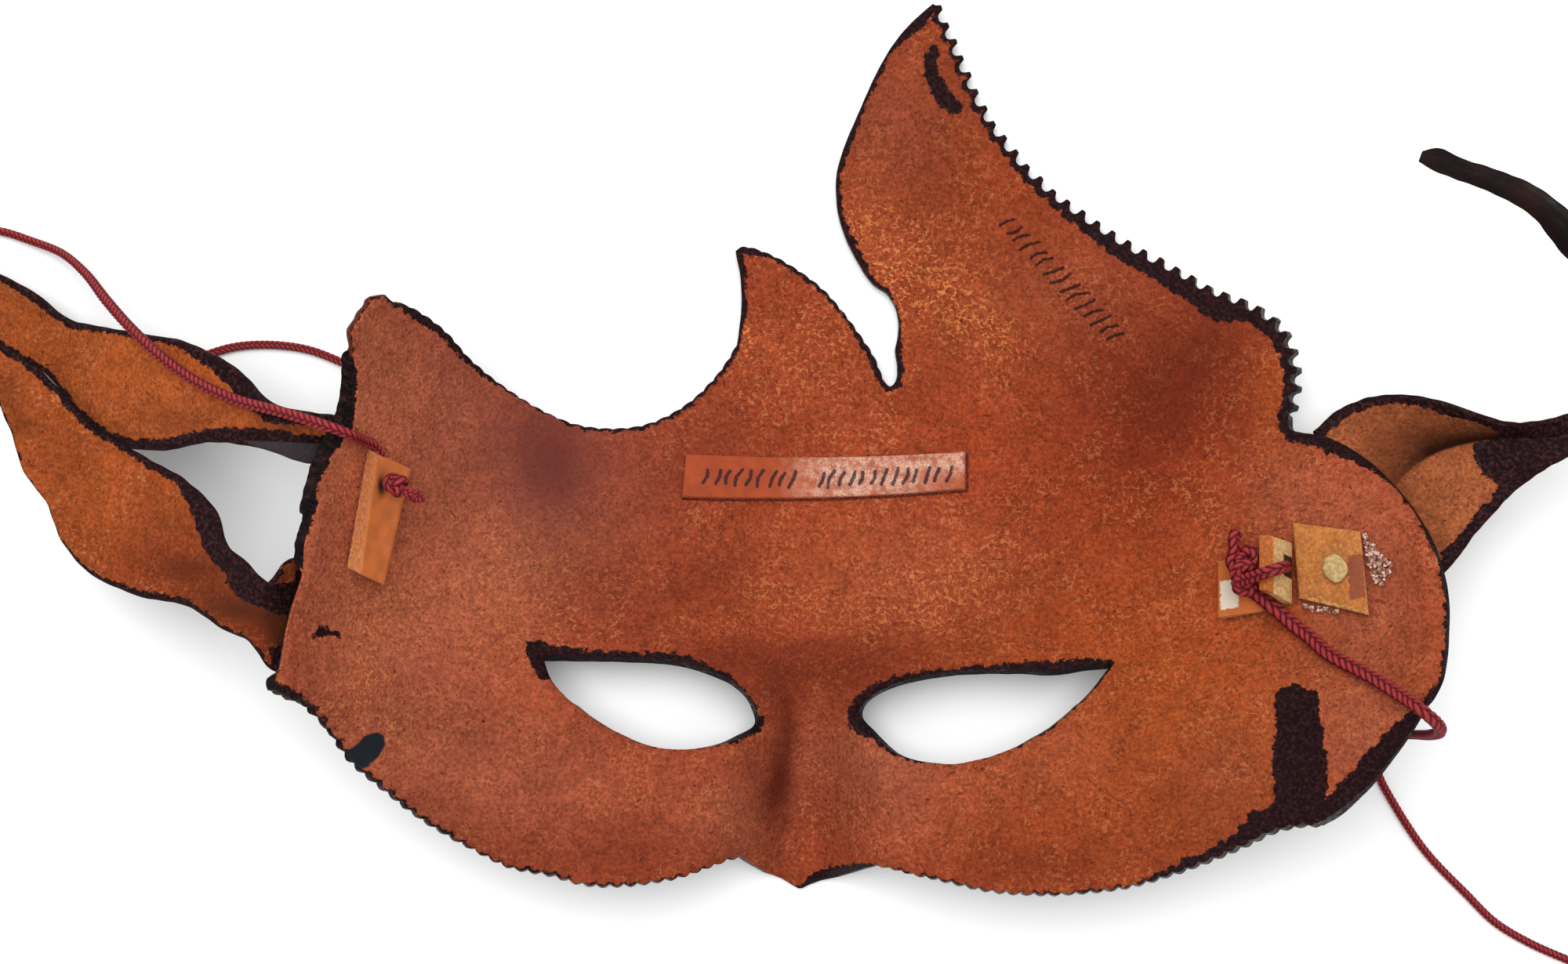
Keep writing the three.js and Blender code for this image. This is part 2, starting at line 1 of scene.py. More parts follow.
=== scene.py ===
# The look of a leather half mask that lies face down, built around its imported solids.
#
# Shapes are worked out in millimetres and in plan: a plan point (u, v) is where the line of sight
# through the camera, SIGHT_HEIGHT over the table, meets the table. seen_at() turns plan points and
# heights into points in the frame, in metres.
import math

import bpy
import numpy as np
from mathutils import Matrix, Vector, kdtree
from mathutils.geometry import delaunay_2d_cdt


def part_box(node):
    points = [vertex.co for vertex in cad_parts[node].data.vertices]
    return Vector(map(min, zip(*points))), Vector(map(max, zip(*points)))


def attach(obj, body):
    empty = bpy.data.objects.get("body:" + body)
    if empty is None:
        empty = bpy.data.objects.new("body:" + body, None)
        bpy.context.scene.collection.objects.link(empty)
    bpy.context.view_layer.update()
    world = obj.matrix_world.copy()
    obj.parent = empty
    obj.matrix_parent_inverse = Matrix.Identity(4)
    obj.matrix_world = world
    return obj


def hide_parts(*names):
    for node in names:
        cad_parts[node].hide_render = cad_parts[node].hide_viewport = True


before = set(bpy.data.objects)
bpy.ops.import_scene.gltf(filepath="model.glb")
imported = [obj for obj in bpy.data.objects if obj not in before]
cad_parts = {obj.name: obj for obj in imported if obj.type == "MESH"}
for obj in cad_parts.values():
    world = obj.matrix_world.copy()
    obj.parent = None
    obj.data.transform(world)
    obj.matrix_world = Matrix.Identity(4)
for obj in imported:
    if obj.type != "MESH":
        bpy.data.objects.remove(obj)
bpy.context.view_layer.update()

# Driving dimensions, in millimetres
MM = 0.001
SIGHT_HEIGHT = 450.0
MIDDLE = (-5.48, 7.17)  # the frame's origin, in plan
VIEW_WIDTH = 320.0  # what the picture shows of the table, from left to right
SHEET = 3.0
LEAF_SHEET = 2.4
LEAF_EDGE = 1.1
STRAP_SHEET = 2.0
TOUCH_GAP = 0.4
CORD_RADIUS = 0.85
TABLE_GAP = 0.1
WALLS = 3  # rows of faces on a cut edge
FILL_STEP = 0.85  # between the mask's mesh points
NIB_STEP = 0.24  # and beside a pen stroke

# Relief of the inner face
TEMPLES = [
    {"across": -0.967, "up": 0.254, "start": 38, "bend": 42},
    {"across": 1, "up": 0, "start": 60, "bend": 110},
]
FOREHEAD = {"middle": 10, "bend": 900, "flat_spot": 0.6}
FLAME_TIP = {"start": 55, "bend": 250}
BROW = {"crest": 25, "line": -24, "rise": 6}
EYE_RISE = {"start": -24, "end": -46, "rise": 10}
CHEEKS = {"start": -55, "rise": 0.26}
NOSE = {"root": -29, "slope": 0.49, "middle": 4.4, "lean": 0.045, "width": 9.5, "widen": 0.065}


# Plan, relief and lines

def seen_at(u, v, z):
    """Frame points, in metres, that stand z over the table and are seen at plan points (u, v)."""
    u, v, z = np.broadcast_arrays(np.asarray(u, float), v, z)
    nearer = 1 - z / SIGHT_HEIGHT
    return MM * np.stack([u * nearer - MIDDLE[0], v * nearer - MIDDLE[1], z], axis=-1)


def smooth(t):
    """A soft step from 0 to 1 between those values of t."""
    s = np.clip(t, 0, 1)
    return s * s * (3 - 2 * s)


def soft(t, reach):
    """Nearly t above 0 and nearly 0 below, with a soft bend about reach wide."""
    return (t + np.sqrt(t * t + reach * reach)) / 2


def unit(vectors):
    return vectors / np.maximum(np.linalg.norm(vectors, axis=-1, keepdims=True), 1e-12)


def nose_depth(u, v):
    """How deep the groove of the nose is below the cheeks."""
    depth = NOSE["slope"] * soft(NOSE["root"] - v, 4)
    off = u - NOSE["middle"] - NOSE["lean"] * (v + 60)
    width = NOSE["width"] + NOSE["widen"] * np.maximum(0, -35 - v)
    return depth * np.exp(-((off / width) ** 2))


def height(u, v):
    """Height of the mask's inner face over the table."""
    z = SHEET - FOREHEAD["flat_spot"] + (u - FOREHEAD["middle"]) ** 2 / (2 * FOREHEAD["bend"])
    z = z + np.maximum(0, v - FLAME_TIP["start"]) ** 2 / (2 * FLAME_TIP["bend"])
    z = z + BROW["rise"] * smooth((BROW["crest"] - v) / (BROW["crest"] - BROW["line"]))
    z = z + EYE_RISE["rise"] * smooth((EYE_RISE["start"] - v) / (EYE_RISE["start"] - EYE_RISE["end"]))
    z = z + CHEEKS["rise"] * soft(CHEEKS["start"] - v, 6)
    for side in TEMPLES:
        past = np.maximum(0, side["across"] * u + side["up"] * v - side["start"])
        z = z + past**2 / (2 * side["bend"])
    return np.maximum(z - nose_depth(u, v), SHEET)


def face_normal(u, v):
    u, v = np.asarray(u, float), np.asarray(v, float)
    step = 0.3
    east = seen_at(u + step, v, height(u + step, v)) - seen_at(u - step, v, height(u - step, v))
    north = seen_at(u, v + step, height(u, v + step)) - seen_at(u, v - step, height(u, v - step))
    return unit(np.cross(east, north))


def over_face(u, v, lift):
    """Frame points seen at (u, v) that stand lift above the mask's inner face."""
    return seen_at(u, v, height(np.asarray(u, float), v) + lift / face_normal(u, v)[..., 2])


def curve_through(points, per_span=16):
    """A smooth line through points: a centripetal Catmull-Rom curve, as sampled points."""
    p = np.asarray(points, float)
    p = np.vstack([2 * p[0] - p[1], p, 2 * p[-1] - p[-2]])
    t = np.linspace(0, 1, per_span, endpoint=False)[:, None]
    line = []
    for a, b, c, d in zip(p, p[1:], p[2:], p[3:]):
        ab, bc, cd = (max(np.linalg.norm(y - x), 1e-9) ** 0.5 for x, y in ((a, b), (b, c), (c, d)))
        start = ((b - a) / ab - (c - a) / (ab + bc) + (c - b) / bc) * bc
        end = ((c - b) / bc - (d - b) / (bc + cd) + (d - c) / cd) * bc
        second = 3 * (c - b) - 2 * start - end
        third = 2 * (b - c) + start + end
        line.append(b + start * t + second * t**2 + third * t**3)
    line.append(p[-2][None])
    return np.vstack(line)


def measure(line):
    """Distance along a line at each of its points."""
    return np.concatenate([[0], np.cumsum(np.linalg.norm(np.diff(line, axis=0), axis=1))])


def at_distance(line, distances):
    along = measure(line)
    return np.stack([np.interp(distances, along, line[:, k]) for k in range(line.shape[1])], axis=-1)


def spaced(line, step):
    """The line again, with points about step apart."""
    total = measure(line)[-1]
    return at_distance(line, np.linspace(0, total, max(2, round(total / step) + 1)))


def wave(u, v, size, seed):
    """Smooth repeatable unevenness from -1 to 1, with lumps about size across."""
    total = 0
    for k in range(5):
        turn = 2.4 * k + seed
        pitch = size * (0.75 + 0.17 * k)
        total = total + np.sin((u * math.cos(turn) + v * math.sin(turn)) * 2 * math.pi / pitch + 3.7 * turn)
    return total / 5


# Meshes

def new_object(name, data):
    item = bpy.data.objects.new(name, data)
    bpy.context.scene.collection.objects.link(item)
    return item


def make_object(name, mesh, replaced, materials):
    piece = new_object(name, mesh)
    for material in materials:
        mesh.materials.append(material)
    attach(piece, "root")
    if replaced:
        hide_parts(*replaced)
    return piece


def new_mesh(name, vertices, faces):
    """A smooth mesh of triangles or quads."""
    mesh = bpy.data.meshes.new(name)
    faces = np.asarray(faces, np.int32)
    sides = faces.shape[1]
    mesh.vertices.add(len(vertices))
    mesh.vertices.foreach_set("co", np.asarray(vertices, np.float32).ravel())
    mesh.loops.add(faces.size)
    mesh.loops.foreach_set("vertex_index", faces.ravel())
    mesh.polygons.add(len(faces))
    mesh.polygons.foreach_set("loop_start", np.arange(0, faces.size, sides, dtype=np.int32))
    mesh.polygons.foreach_set("use_smooth", np.ones(len(faces), bool))
    mesh.update(calc_edges=True)
    return mesh


def paint(mesh, name, values):
    """Gives each point of a mesh its value, or all of them the same one."""
    values = np.array(np.broadcast_to(values, len(mesh.vertices)), np.float32)
    mesh.attributes.new(name, "FLOAT", "POINT").data.foreach_set("value", values)


def open_edges(triangles):
    """The triangles' edges that only one of them has, in the direction that it goes round."""
    edges = np.vstack([triangles[:, [0, 1]], triangles[:, [1, 2]], triangles[:, [2, 0]]])
    keys = np.sort(edges, axis=1) @ np.array([edges.max() + 1, 1], np.int64)
    _, first, counts = np.unique(keys, return_index=True, return_counts=True)
    return edges[first[counts == 1]]


def closed_sheet(name, upper, lower, triangles, rounded=None, ragged=None):
    """A sheet of leather. Its faces are material 0 above, 1 below and 2 on the cut edge.

    Rounded and ragged have a value for each upper point. Where rounded is 1 the cut edge is round and
    has the upper face's material. Ragged is how far the lower side stands out there, in millimetres.
    Returns the mesh, and for each of its points the upper point that it belongs to and how far it is
    through the sheet.
    """
    upper, lower = np.asarray(upper, float), np.array(lower, float)
    triangles = np.asarray(triangles, np.int64)
    count = len(upper)
    rounded = np.zeros(count) if rounded is None else rounded
    ragged = np.zeros(count) if ragged is None else ragged
    cut = open_edges(triangles)
    rim, inverse = np.unique(cut, return_inverse=True)
    cut = inverse.reshape(cut.shape)
    p, q = cut.T
    outward = np.zeros((len(rim), 3))
    aside = unit(np.cross(upper[rim[q]] - upper[rim[p]], (upper - lower)[rim[p]]))
    np.add.at(outward, p, aside)
    np.add.at(outward, q, aside)
    outward = unit(outward)
    lower[rim] += MM * ragged[rim, None] * outward
    bulge = 0.3 * np.linalg.norm(upper[rim] - lower[rim], axis=1) * rounded[rim]
    rings = [rim]
    points = [upper, lower]
    owner = [np.arange(count), np.arange(count)]
    depth = [np.zeros(count), np.ones(count)]
    start = 2 * count
    for k in range(1, WALLS):
        through = k / WALLS
        ring = (1 - through) * upper[rim] + through * lower[rim]
        points.append(ring + math.sin(math.pi * through) * bulge[:, None] * outward)
        owner.append(rim)
        depth.append(np.full(len(rim), through))
        rings.append(np.arange(start, start + len(rim)))
        start += len(rim)
    rings.append(rim + count)
    faces = [triangles, triangles[:, ::-1] + count]
    kinds = [np.zeros(len(triangles), np.int32), np.ones(len(triangles), np.int32)]
    is_round = rounded[rim][cut].min(axis=1) > 0.5
    for a, b in zip(rings, rings[1:]):
        faces.append(np.stack([a[p], b[p], a[q]], axis=1))
        faces.append(np.stack([a[q], b[p], b[q]], axis=1))
        kinds.append(np.tile(np.where(is_round, 0, 2).astype(np.int32), 2))
    mesh = new_mesh(name, np.vstack(points), np.vstack(faces))
    mesh.polygons.foreach_set("material_index", np.concatenate(kinds))
    pairs = np.sort(rim[cut], axis=1)
    sharpen(mesh, np.concatenate([pairs[~is_round], pairs + count]))
    return mesh, np.concatenate(owner), np.concatenate(depth)


def sharpen(mesh, pairs):
    """Marks the edges between these pairs of points as sharp."""
    ends = np.empty(2 * len(mesh.edges), np.int32)
    mesh.edges.foreach_get("vertices", ends)
    weights = np.array([len(mesh.vertices), 1], np.int64)
    found = np.isin(np.sort(ends.reshape(-1, 2), axis=1) @ weights, np.asarray(pairs, np.int64) @ weights)
    mesh.attributes.new("sharp_edge", "BOOLEAN", "EDGE").data.foreach_set("value", found)


def grid_triangles(rows, columns):
    """Triangles of a grid of points, row after row, facing up where columns run to the right of rows."""
    i, j = np.meshgrid(np.arange(rows - 1), np.arange(columns - 1), indexing="ij")
    a = (i * columns + j).ravel()
    near = np.stack([a, a + 1, a + columns], axis=1)
    far = np.stack([a + 1, a + columns + 1, a + columns], axis=1)
    return np.vstack([near, far])


def grid_sheet(name, upper, lower, rounded=None):
    """A closed sheet between two grids of points."""
    triangles = grid_triangles(*upper.shape[:2])
    return closed_sheet(name, upper.reshape(-1, 3), lower.reshape(-1, 3), triangles, rounded=rounded)


def grid_rim(grid):
    """Which points of a grid lie on its rim."""
    rim = np.ones(grid.shape[:2], bool)
    rim[1:-1, 1:-1] = False
    return rim


def grid_normals(grid):
    """Unit normals of a grid of points, on the side from which columns run to the right of rows."""
    along = np.gradient(grid, axis=0)
    right = np.gradient(grid, axis=1)
    return unit(np.cross(right, along))


# Camera

def make_camera():
    data = bpy.data.cameras.new("camera")
    data.sensor_fit = "HORIZONTAL"
    data.lens = data.sensor_width * SIGHT_HEIGHT / VIEW_WIDTH
    data.clip_start = 0.01
    camera = new_object("camera", data)
    camera.location = (-MIDDLE[0] * MM, -MIDDLE[1] * MM, SIGHT_HEIGHT * MM)
    bpy.context.scene.camera = camera


make_camera()

# Cords: braided ties

BRAID_ROWS = 4  # rows of stitches around it
BRAID_STITCH = 1.2  # length of a stitch, in radii
BRAID_LEAN = 1.0  # how far a stitch slants across its row, in stitches
BRAID_STEP = 0.22  # between rings of mesh points
BRAID_SIDES = 30
BRAID_FLAT, BRAID_RISE = 0.78, 0.26  # its surface in the grooves and how much higher it gets, in radii
# Radii at even steps along each tie, which is slack near its tab
LEFT_RADII = [1.05] * 6 + [0.86] * 22
RIGHT_RADII = [1.45, 1.45, 1.35, 1.2, 1.0] + [0.84] * 23
SLACK_RADIUS = 1.25  # of the right knot's strands
LEFT_LENGTH, RIGHT_LENGTH = 0.43, 0.45  # in metres
OVER_TABLE = CORD_RADIUS + TABLE_GAP
OVER_SUEDE = CORD_RADIUS + TOUCH_GAP + 0.3
COIL = {"radius": 13.4, "width": 3.6, "tall": 3.5}  # the radius of the ring's middle line
LEFT_COIL = (-71.6, 2.0)  # the coils' middles, in plan
RIGHT_COIL = (178.4, -87.6)
END_KNOT = 1.8  # radius of the ball, and of its strand
END_KNOT_STRAND = 0.75

# Where each tie comes out of its tab: plan points and heights over the inner face
LEFT_START = [(-82.2, 4.6, 1.4), (-82.8, 6.2, 1.6)]
RIGHT_START = [(94.2, -19.6, 6.2)]
# From there to the table: plan points, each with its height over the table where it is off the inner face
LEFT_ROUTE = [
    (-83.4, 7.3), (-86, 8.6), (-88.6, 9.7, 43.6), (-92, 11, 45.4), (-96.6, 12.5, 44.6), (-102.9, 14.4, 42.6),
    (-111.4, 16.6, 38.8), (-120, 20.5, 33.8), (-127.8, 26.2, 28.6), (-133.6, 31.7, 23.4),
    (-138.4, 37.2, 16.6), (-142.6, 42.6, 9.6), (-147.6, 46.8, 4.2), (-153.6, 49.2, 1.9),
]
RIGHT_ROUTE = [
    (95.6, -22.2, 23.2), (97.9, -24, 23.7), (99.8, -25.7, 24.9), (102.2, -27.7, 25.4), (104.8, -29.9, 26.9),
    (106.9, -31.4), (111.2, -35.2), (119.7, -39.8), (126.6, -44.2), (130.4, -46.8, 52.4), (133, -49, 51.4),
    (134, -50.8, 46.8), (132, -51.6, 38), (128.4, -51.6, 26), (124.8, -51.8, 14), (121.8, -53, 4.8),
    (120.8, -55.8, 1.7),
]
# On the table, up to the coil
LEFT_ON_TABLE = [
    (-160, 51.2), (-167, 51.6), (-172.2, 48.6), (-173, 42.6), (-169, 38), (-162.6, 35.2), (-155.6, 32.2),
    (-148, 27.4), (-140, 23), (-131.4, 21.6), (-123.6, 23.4), (-117.1, 26.2), (-111.4, 27.7), (-104.3, 28),
    (-97.1, 27), (-90.4, 24.5), (-85, 22), (-80.4, 19.6), (-76.9, 18.4), (-74.5, 18.2),
]
RIGHT_ON_TABLE = [
    (121.4, -59.8), (124.2, -65.3), (130.9, -75.4), (139.4, -84.3), (145, -89.8), (151.7, -93.9),
    (160, -97.6), (165.6, -99.8), (169.2, -101.3),
]


def route_points(start, route, on_table):
    """A tie's points in the frame, in millimetres."""
    points = [over_face(*point) for point in start]
    points += [over_face(*point, OVER_SUEDE) if len(point) == 2 else seen_at(*point) for point in route]
    points += [seen_at(*point, OVER_TABLE) for point in on_table]
    return np.array(points) / MM


def coil_points(before, centre, direction, turns):
    """Points of a coil on the table, from the tie's last point before it in to the end knot.

    The turns go round at two radii and in two layers, one cord from the next. The end knot is on the
    +X side, inside the ring.
    """
    middle = seen_at(*centre, TABLE_GAP + COIL["tall"] / 2) / MM
    arm = before - middle
    begin = math.atan2(arm[1], arm[0])
    total = (direction * -begin / (2 * math.pi)) % 1 + turns
    outer, inner = COIL["radius"] + CORD_RADIUS, COIL["radius"] - CORD_RADIUS
    knot = COIL["radius"] - COIL["width"] / 2 - TOUCH_GAP - END_KNOT
    t = np.linspace(0.04, total, round(24 * total))
    # after a turn the cord goes to the inner radius, in the upper layer out again and then in
    inward = smooth((t - 0.85) / 0.3) - smooth((t - 1.9) / 0.25) + smooth((t - 2.85) / 0.3)
    radius = outer + (inner - outer) * inward
    radius = radius + (math.hypot(arm[0], arm[1]) - outer) * (1 - smooth(t / 0.16))
    z = OVER_TABLE + 2 * CORD_RADIUS * smooth((t - 1.7) / 0.25)
    ending = smooth((t - total + 0.2) / 0.2)
    radius = radius + (knot + 0.6 - radius) * ending
    z = z + (TABLE_GAP + END_KNOT - z) * ending
    angle = begin + direction * 2 * math.pi * t
    return np.stack([middle[0] + radius * np.cos(angle), middle[1] + radius * np.sin(angle), z], axis=-1)


def braid(around, along):
    """How proud a braid is, from 0 to 1, at a share of the way around and stitches along.

    Its rows of stitches slant to one side and the other in turn.
    """
    row = around * BRAID_ROWS
    across = row % 1
    lean = np.where(np.floor(row) % 2 == 0, 1, -1)
    ahead = (along + 0.25 * lean + lean * BRAID_LEAN * (across - 0.5)) % 1
    return (0.3 + 0.7 * np.sin(math.pi * across) ** 0.6) * (0.12 + 0.88 * np.sin(math.pi * ahead) ** 0.8)


def braided_tube(line, radius):
    """Vertices, triangles and grooves of a braided cord along a line, all in millimetres.

    The radius is given at even steps along the line.
    """
    line = spaced(line, BRAID_STEP)
    radius = np.interp(np.linspace(0, 1, len(line)), np.linspace(0, 1, len(radius)), radius)
    ahead = unit(np.gradient(line, axis=0))
    side = np.cross(ahead[0], (0.3, 0.2, 1))
    sides = []
    for direction in ahead:
        side = unit(side - direction * (side @ direction))
        sides.append(side)
    sides = np.array(sides)[:, None]
    ups = np.cross(ahead, sides[:, 0])[:, None]
    around = np.arange(BRAID_SIDES) / BRAID_SIDES
    along = np.cumsum(BRAID_STEP / (BRAID_STITCH * radius))
    proud = braid(around[None], along[:, None])
    reach = (radius[:, None] * (BRAID_FLAT + BRAID_RISE * proud))[..., None]
    turn = (2 * math.pi * around)[None, :, None]
    rings = line[:, None] + reach * (np.cos(turn) * sides + np.sin(turn) * ups)
    tip = len(line) * BRAID_SIDES
    last = tip - BRAID_SIDES
    ring = np.arange(BRAID_SIDES)
    following = (ring + 1) % BRAID_SIDES
    starts = np.arange(0, last, BRAID_SIDES)[:, None]
    a, b = (starts + ring).ravel(), (starts + following).ravel()
    faces = [
        np.stack([a, b, b + BRAID_SIDES], axis=1),
        np.stack([a, b + BRAID_SIDES, a + BRAID_SIDES], axis=1),
        np.stack([following, ring, np.full(BRAID_SIDES, tip)], axis=1),
        np.stack([last + ring, last + following, np.full(BRAID_SIDES, tip + 1)], axis=1),
    ]
    caps = np.array([line[0] - 0.4 * radius[0] * ahead[0], line[-1] + 0.4 * radius[-1] * ahead[-1]])
    grooves = np.concatenate([1 - proud.ravel(), [0.5, 0.5]])
    return np.vstack([rings.reshape(-1, 3), caps]), np.vstack(faces), grooves


def braided_piece(name, tubes, replaced):
    """One piece of braided cord from several lines, each with its radius."""
    vertices, faces, grooves, start = [], [], [], 0
    for line, radius in tubes:
        v, f, g = braided_tube(np.asarray(line, float), np.atleast_1d(radius))
        vertices.append(v)
        faces.append(f + start)
        grooves.append(g)
        start += len(v)
    mesh = new_mesh(name, np.vstack(vertices) * MM, np.vstack(faces))
    # how deep each point lies between the stitches, for painted shade in the grooves
    paint(mesh, "groove_shade", np.concatenate(grooves))
    return make_object(name, mesh, replaced, [cord_material])


def knot_line(centre, size, tilt):
    """A trefoil that fills a ball of this size, which looks like a tight overhand knot."""
    t = np.linspace(0, 2 * math.pi, 100)
    x = np.sin(t) + 2 * np.sin(2 * t)
    y = np.cos(t) - 2 * np.cos(2 * t)
    z = -1.7 * np.sin(3 * t)
    line = np.stack([x, y * math.cos(tilt) - z * math.sin(tilt), y * math.sin(tilt) + z * math.cos(tilt)], -1)
    return np.asarray(centre) + size / 3 * line


def make_ties():
    left_points = route_points(LEFT_START, LEFT_ROUTE, LEFT_ON_TABLE)
    right_points = route_points(RIGHT_START, RIGHT_ROUTE, RIGHT_ON_TABLE)
    for side, points, centre, direction, turns, length, radii in (
        ("left", left_points, LEFT_COIL, -1, 2, LEFT_LENGTH, LEFT_RADII),
        ("right", right_points, RIGHT_COIL, 1, 3, RIGHT_LENGTH, RIGHT_RADII),
    ):
        points = np.vstack([points, coil_points(points[-1], centre, direction, turns)])
        line = curve_through(points)
        tie = braided_piece(f"{side}_tie", [(line, radii)], [f"{side}_cord", f"{side}_coil"])
        low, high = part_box(f"{side}_end_knot")
        knot = knot_line(np.array((low + high) / 2) / MM, END_KNOT - END_KNOT_STRAND, 0.5)
        end = braided_piece(f"{side}_tie_end", [(knot, END_KNOT_STRAND)], [f"{side}_end_knot"])


# Materials

MASK_TONE = (0.225, 0.038, 0.0145)
# Tints of suede, each for the attribute of its name. The pinker tint is partly painted sheen, on the temples;
# the paler tint is painted light along the left edge, with a few paler spots elsewhere.
TINTS = {
    "red": (0.215, 0.028, 0.0095), "orange": (0.26, 0.05, 0.011), "pink": (0.285, 0.072, 0.037),
    "pale": (0.37, 0.1, 0.05),
}
DYE = (0.009, 0.0028, 0.0034)
DYE_LIGHT = (0.03, 0.0095, 0.01)
LEAF_SHADE = (0.062, 0.015, 0.0062)
LEAF_DYE = (0.04, 0.014, 0.015)
DYE_GLOSS = (0.004, 0.002, 0.0022)
RAW_EDGE = (0.11, 0.024, 0.011)
SHADE = (0.066, 0.009, 0.0045)
DEEP_SHADE = (0.011, 0.003, 0.0015)
FIBRE = (0.5, 0.17, 0.065)
RUBBED = (0.54, 0.175, 0.055)
# colour of the painted shade where the left temple rises
MAUVE_SHADE = (0.1, 0.024, 0.02)
GRAIN_SIDE = (0.034, 0.026, 0.031)
TEAL = (0.011, 0.014, 0.018)
INK = (0.022, 0.007, 0.006)
LABEL_TONE = (0.27, 0.046, 0.014)
LABEL_GLAZE_AND_SHEEN = (0.58, 0.35, 0.25)
LABEL_INK = (0.03, 0.008, 0.01)
OUTER_TONES = (0.005, 0.0026, 0.003), (0.019, 0.0068, 0.0048)
CORD_LIT_AND_SHADED = (0.28, 0.025, 0.029), (0.035, 0.002, 0.003)
PEG_TONES = (0.33, 0.21, 0.075), (0.47, 0.33, 0.14)
GLUE_TONES = (0.26, 0.1, 0.065), (0.62, 0.46, 0.38)
WHITE_PAINT = (0.52, 0.45, 0.36)
STAIN = (0.2, 0.05, 0.026)
# near black for painted shade in and beside a hole
HOLE_SHADE = (0.03, 0.01, 0.008)
DRY = 0.04  # specular level of suede
NAP_RELIEF = 0.22, 0.8  # how high the nap stands, in millimetres, and how strongly it shows
DULL = 1.16  # refractive index that leaves little gloss on a surface seen edge on


class Look:
    """A material, with short ways to add nodes to it. Sizes are in millimetres."""

    def __init__(self, name, sockets):
        self.material = bpy.data.materials.new(name)
        self.material.use_nodes = True
        self.tree = self.material.node_tree
        self.shader = self.tree.nodes["Principled BSDF"]
        self.place = self.add("TexCoord").outputs["Object"]
        for socket, value in sockets.items():
            self.put(socket, value)

    def join(self, value, socket):
        """Sets a socket to a value, or links an output to it."""
        if isinstance(value, bpy.types.NodeSocket):
            self.tree.links.new(value, socket)
        elif isinstance(value, tuple) and len(value) == 3 and len(socket.default_value) == 4:
            socket.default_value = (*value, 1)
        else:
            socket.default_value = value

    def put(self, name, value):
        self.join(value, self.shader.inputs[name])

    def add(self, kind, inputs=(), **settings):
        node = self.tree.nodes.new("ShaderNode" + kind)
        for name, value in settings.items():
            setattr(node, name, value)
        for socket, value in dict(inputs).items():
            self.join(value, node.inputs[socket])
        return node

    def attribute(self, name):
        return self.add("Attribute", attribute_name=name).outputs["Fac"]

    def noise(self, size, detail=2.0, curl=0.0):
        inputs = {"Vector": self.place, "Scale": 1 / (size * MM), "Detail": detail, "Distortion": curl}
        return self.add("TexNoise", inputs).outputs["Fac"]

    def math(self, operation, a, b):
        return self.add("Math", {0: a, 1: b}, operation=operation).outputs[0]

    def step(self, value, low, high, start=0.0, end=1.0):
        """start up to low, end from high, smooth between."""
        inputs = {"Value": value, "From Min": low, "From Max": high, "To Min": start, "To Max": end}
        return self.add("MapRange", inputs, interpolation_type="SMOOTHSTEP").outputs[0]

    def mix(self, share, a, b):
        return self.add("Mix", {0: share, 6: a, 7: b}, data_type="RGBA").outputs[2]

    def brighten(self, colour, factor):
        return self.add("VectorMath", {0: colour, 3: factor}, operation="SCALE").outputs[0]

    def patches(self, size, detail, low, high, start=0.0, end=1.0, curl=0.0):
        """Soft patches of about this size, from start to end."""
        return self.step(self.noise(size, detail, curl), low, high, start, end)

    def ragged(self, name, size, detail, reach):
        """An attribute whose edges move by up to reach, in patches of about this size."""
        return self.math("ADD", self.attribute(name), self.patches(size, detail, 0.3, 0.7, -reach, reach))

    def curls(self, size):
        """Thin curled strands of about this size, from 0 to 1."""
        line = self.math("ABSOLUTE", self.math("SUBTRACT", self.noise(size, 1.0), 0.5), 0)
        strand = self.step(line, 0.02, 0.08, 1, 0)
        return self.math("MULTIPLY", strand, self.patches(0.8 * size, 2.0, 0.44, 0.56))

    def mottle(self, colour, size, detail=3.0):
        """Lighter and darker patches of about this size."""
        return self.brighten(colour, self.patches(size, detail, 0.3, 0.7, 0.88, 1.12))

    def tint(self, colour, tones):
        """Mixes in each tone as much as the attribute of its name says."""
        for name, tone in tones.items():
            colour = self.mix(self.attribute(name), colour, tone)
        return colour

    def finish(self, colour, roughness, relief, distance, strength):
        """Gives the shader its colour, roughness and fine relief. Returns the material."""
        self.put("Base Color", colour)
        self.put("Roughness", roughness)
        inputs = {"Height": relief, "Distance": distance * MM, "Strength": strength}
        self.put("Normal", self.add("Bump", inputs).outputs[0])
        return self.material


def add_suede(look, tone):
    """Nap, flecks and pits over a tone. Returns the colour, the height of the nap and its loose fibres."""
    fine = look.noise(0.7, 3.0)
    colour = look.mottle(look.mottle(tone, 14), 2.4)
    colour = look.brighten(colour, look.step(fine, 0.34, 0.66, 0.78, 1.2))
    # thin dark strands: painted shade on the shaded side of the nap's fibres
    furrows = look.math("MULTIPLY", look.curls(1.0), look.patches(3, 2.0, 0.4, 0.6, 0.15, 0.5))
    colour = look.mix(furrows, colour, SHADE)
    fibres = look.curls(1.2)
    raised = look.math("MULTIPLY", look.patches(8, 2.0, 0.4, 0.62, 0.12, 0.45), fibres)
    colour = look.mix(raised, colour, FIBRE)
    # dark pits: painted shade in small hollows of the nap
    pits = look.patches(1.0, 1.5, 0.24, 0.34, 0.85, 0.0, curl=1.0)
    colour = look.mix(pits, colour, SHADE)
    return colour, look.math("ADD", fine, look.math("MULTIPLY", fibres, 0.3)), fibres


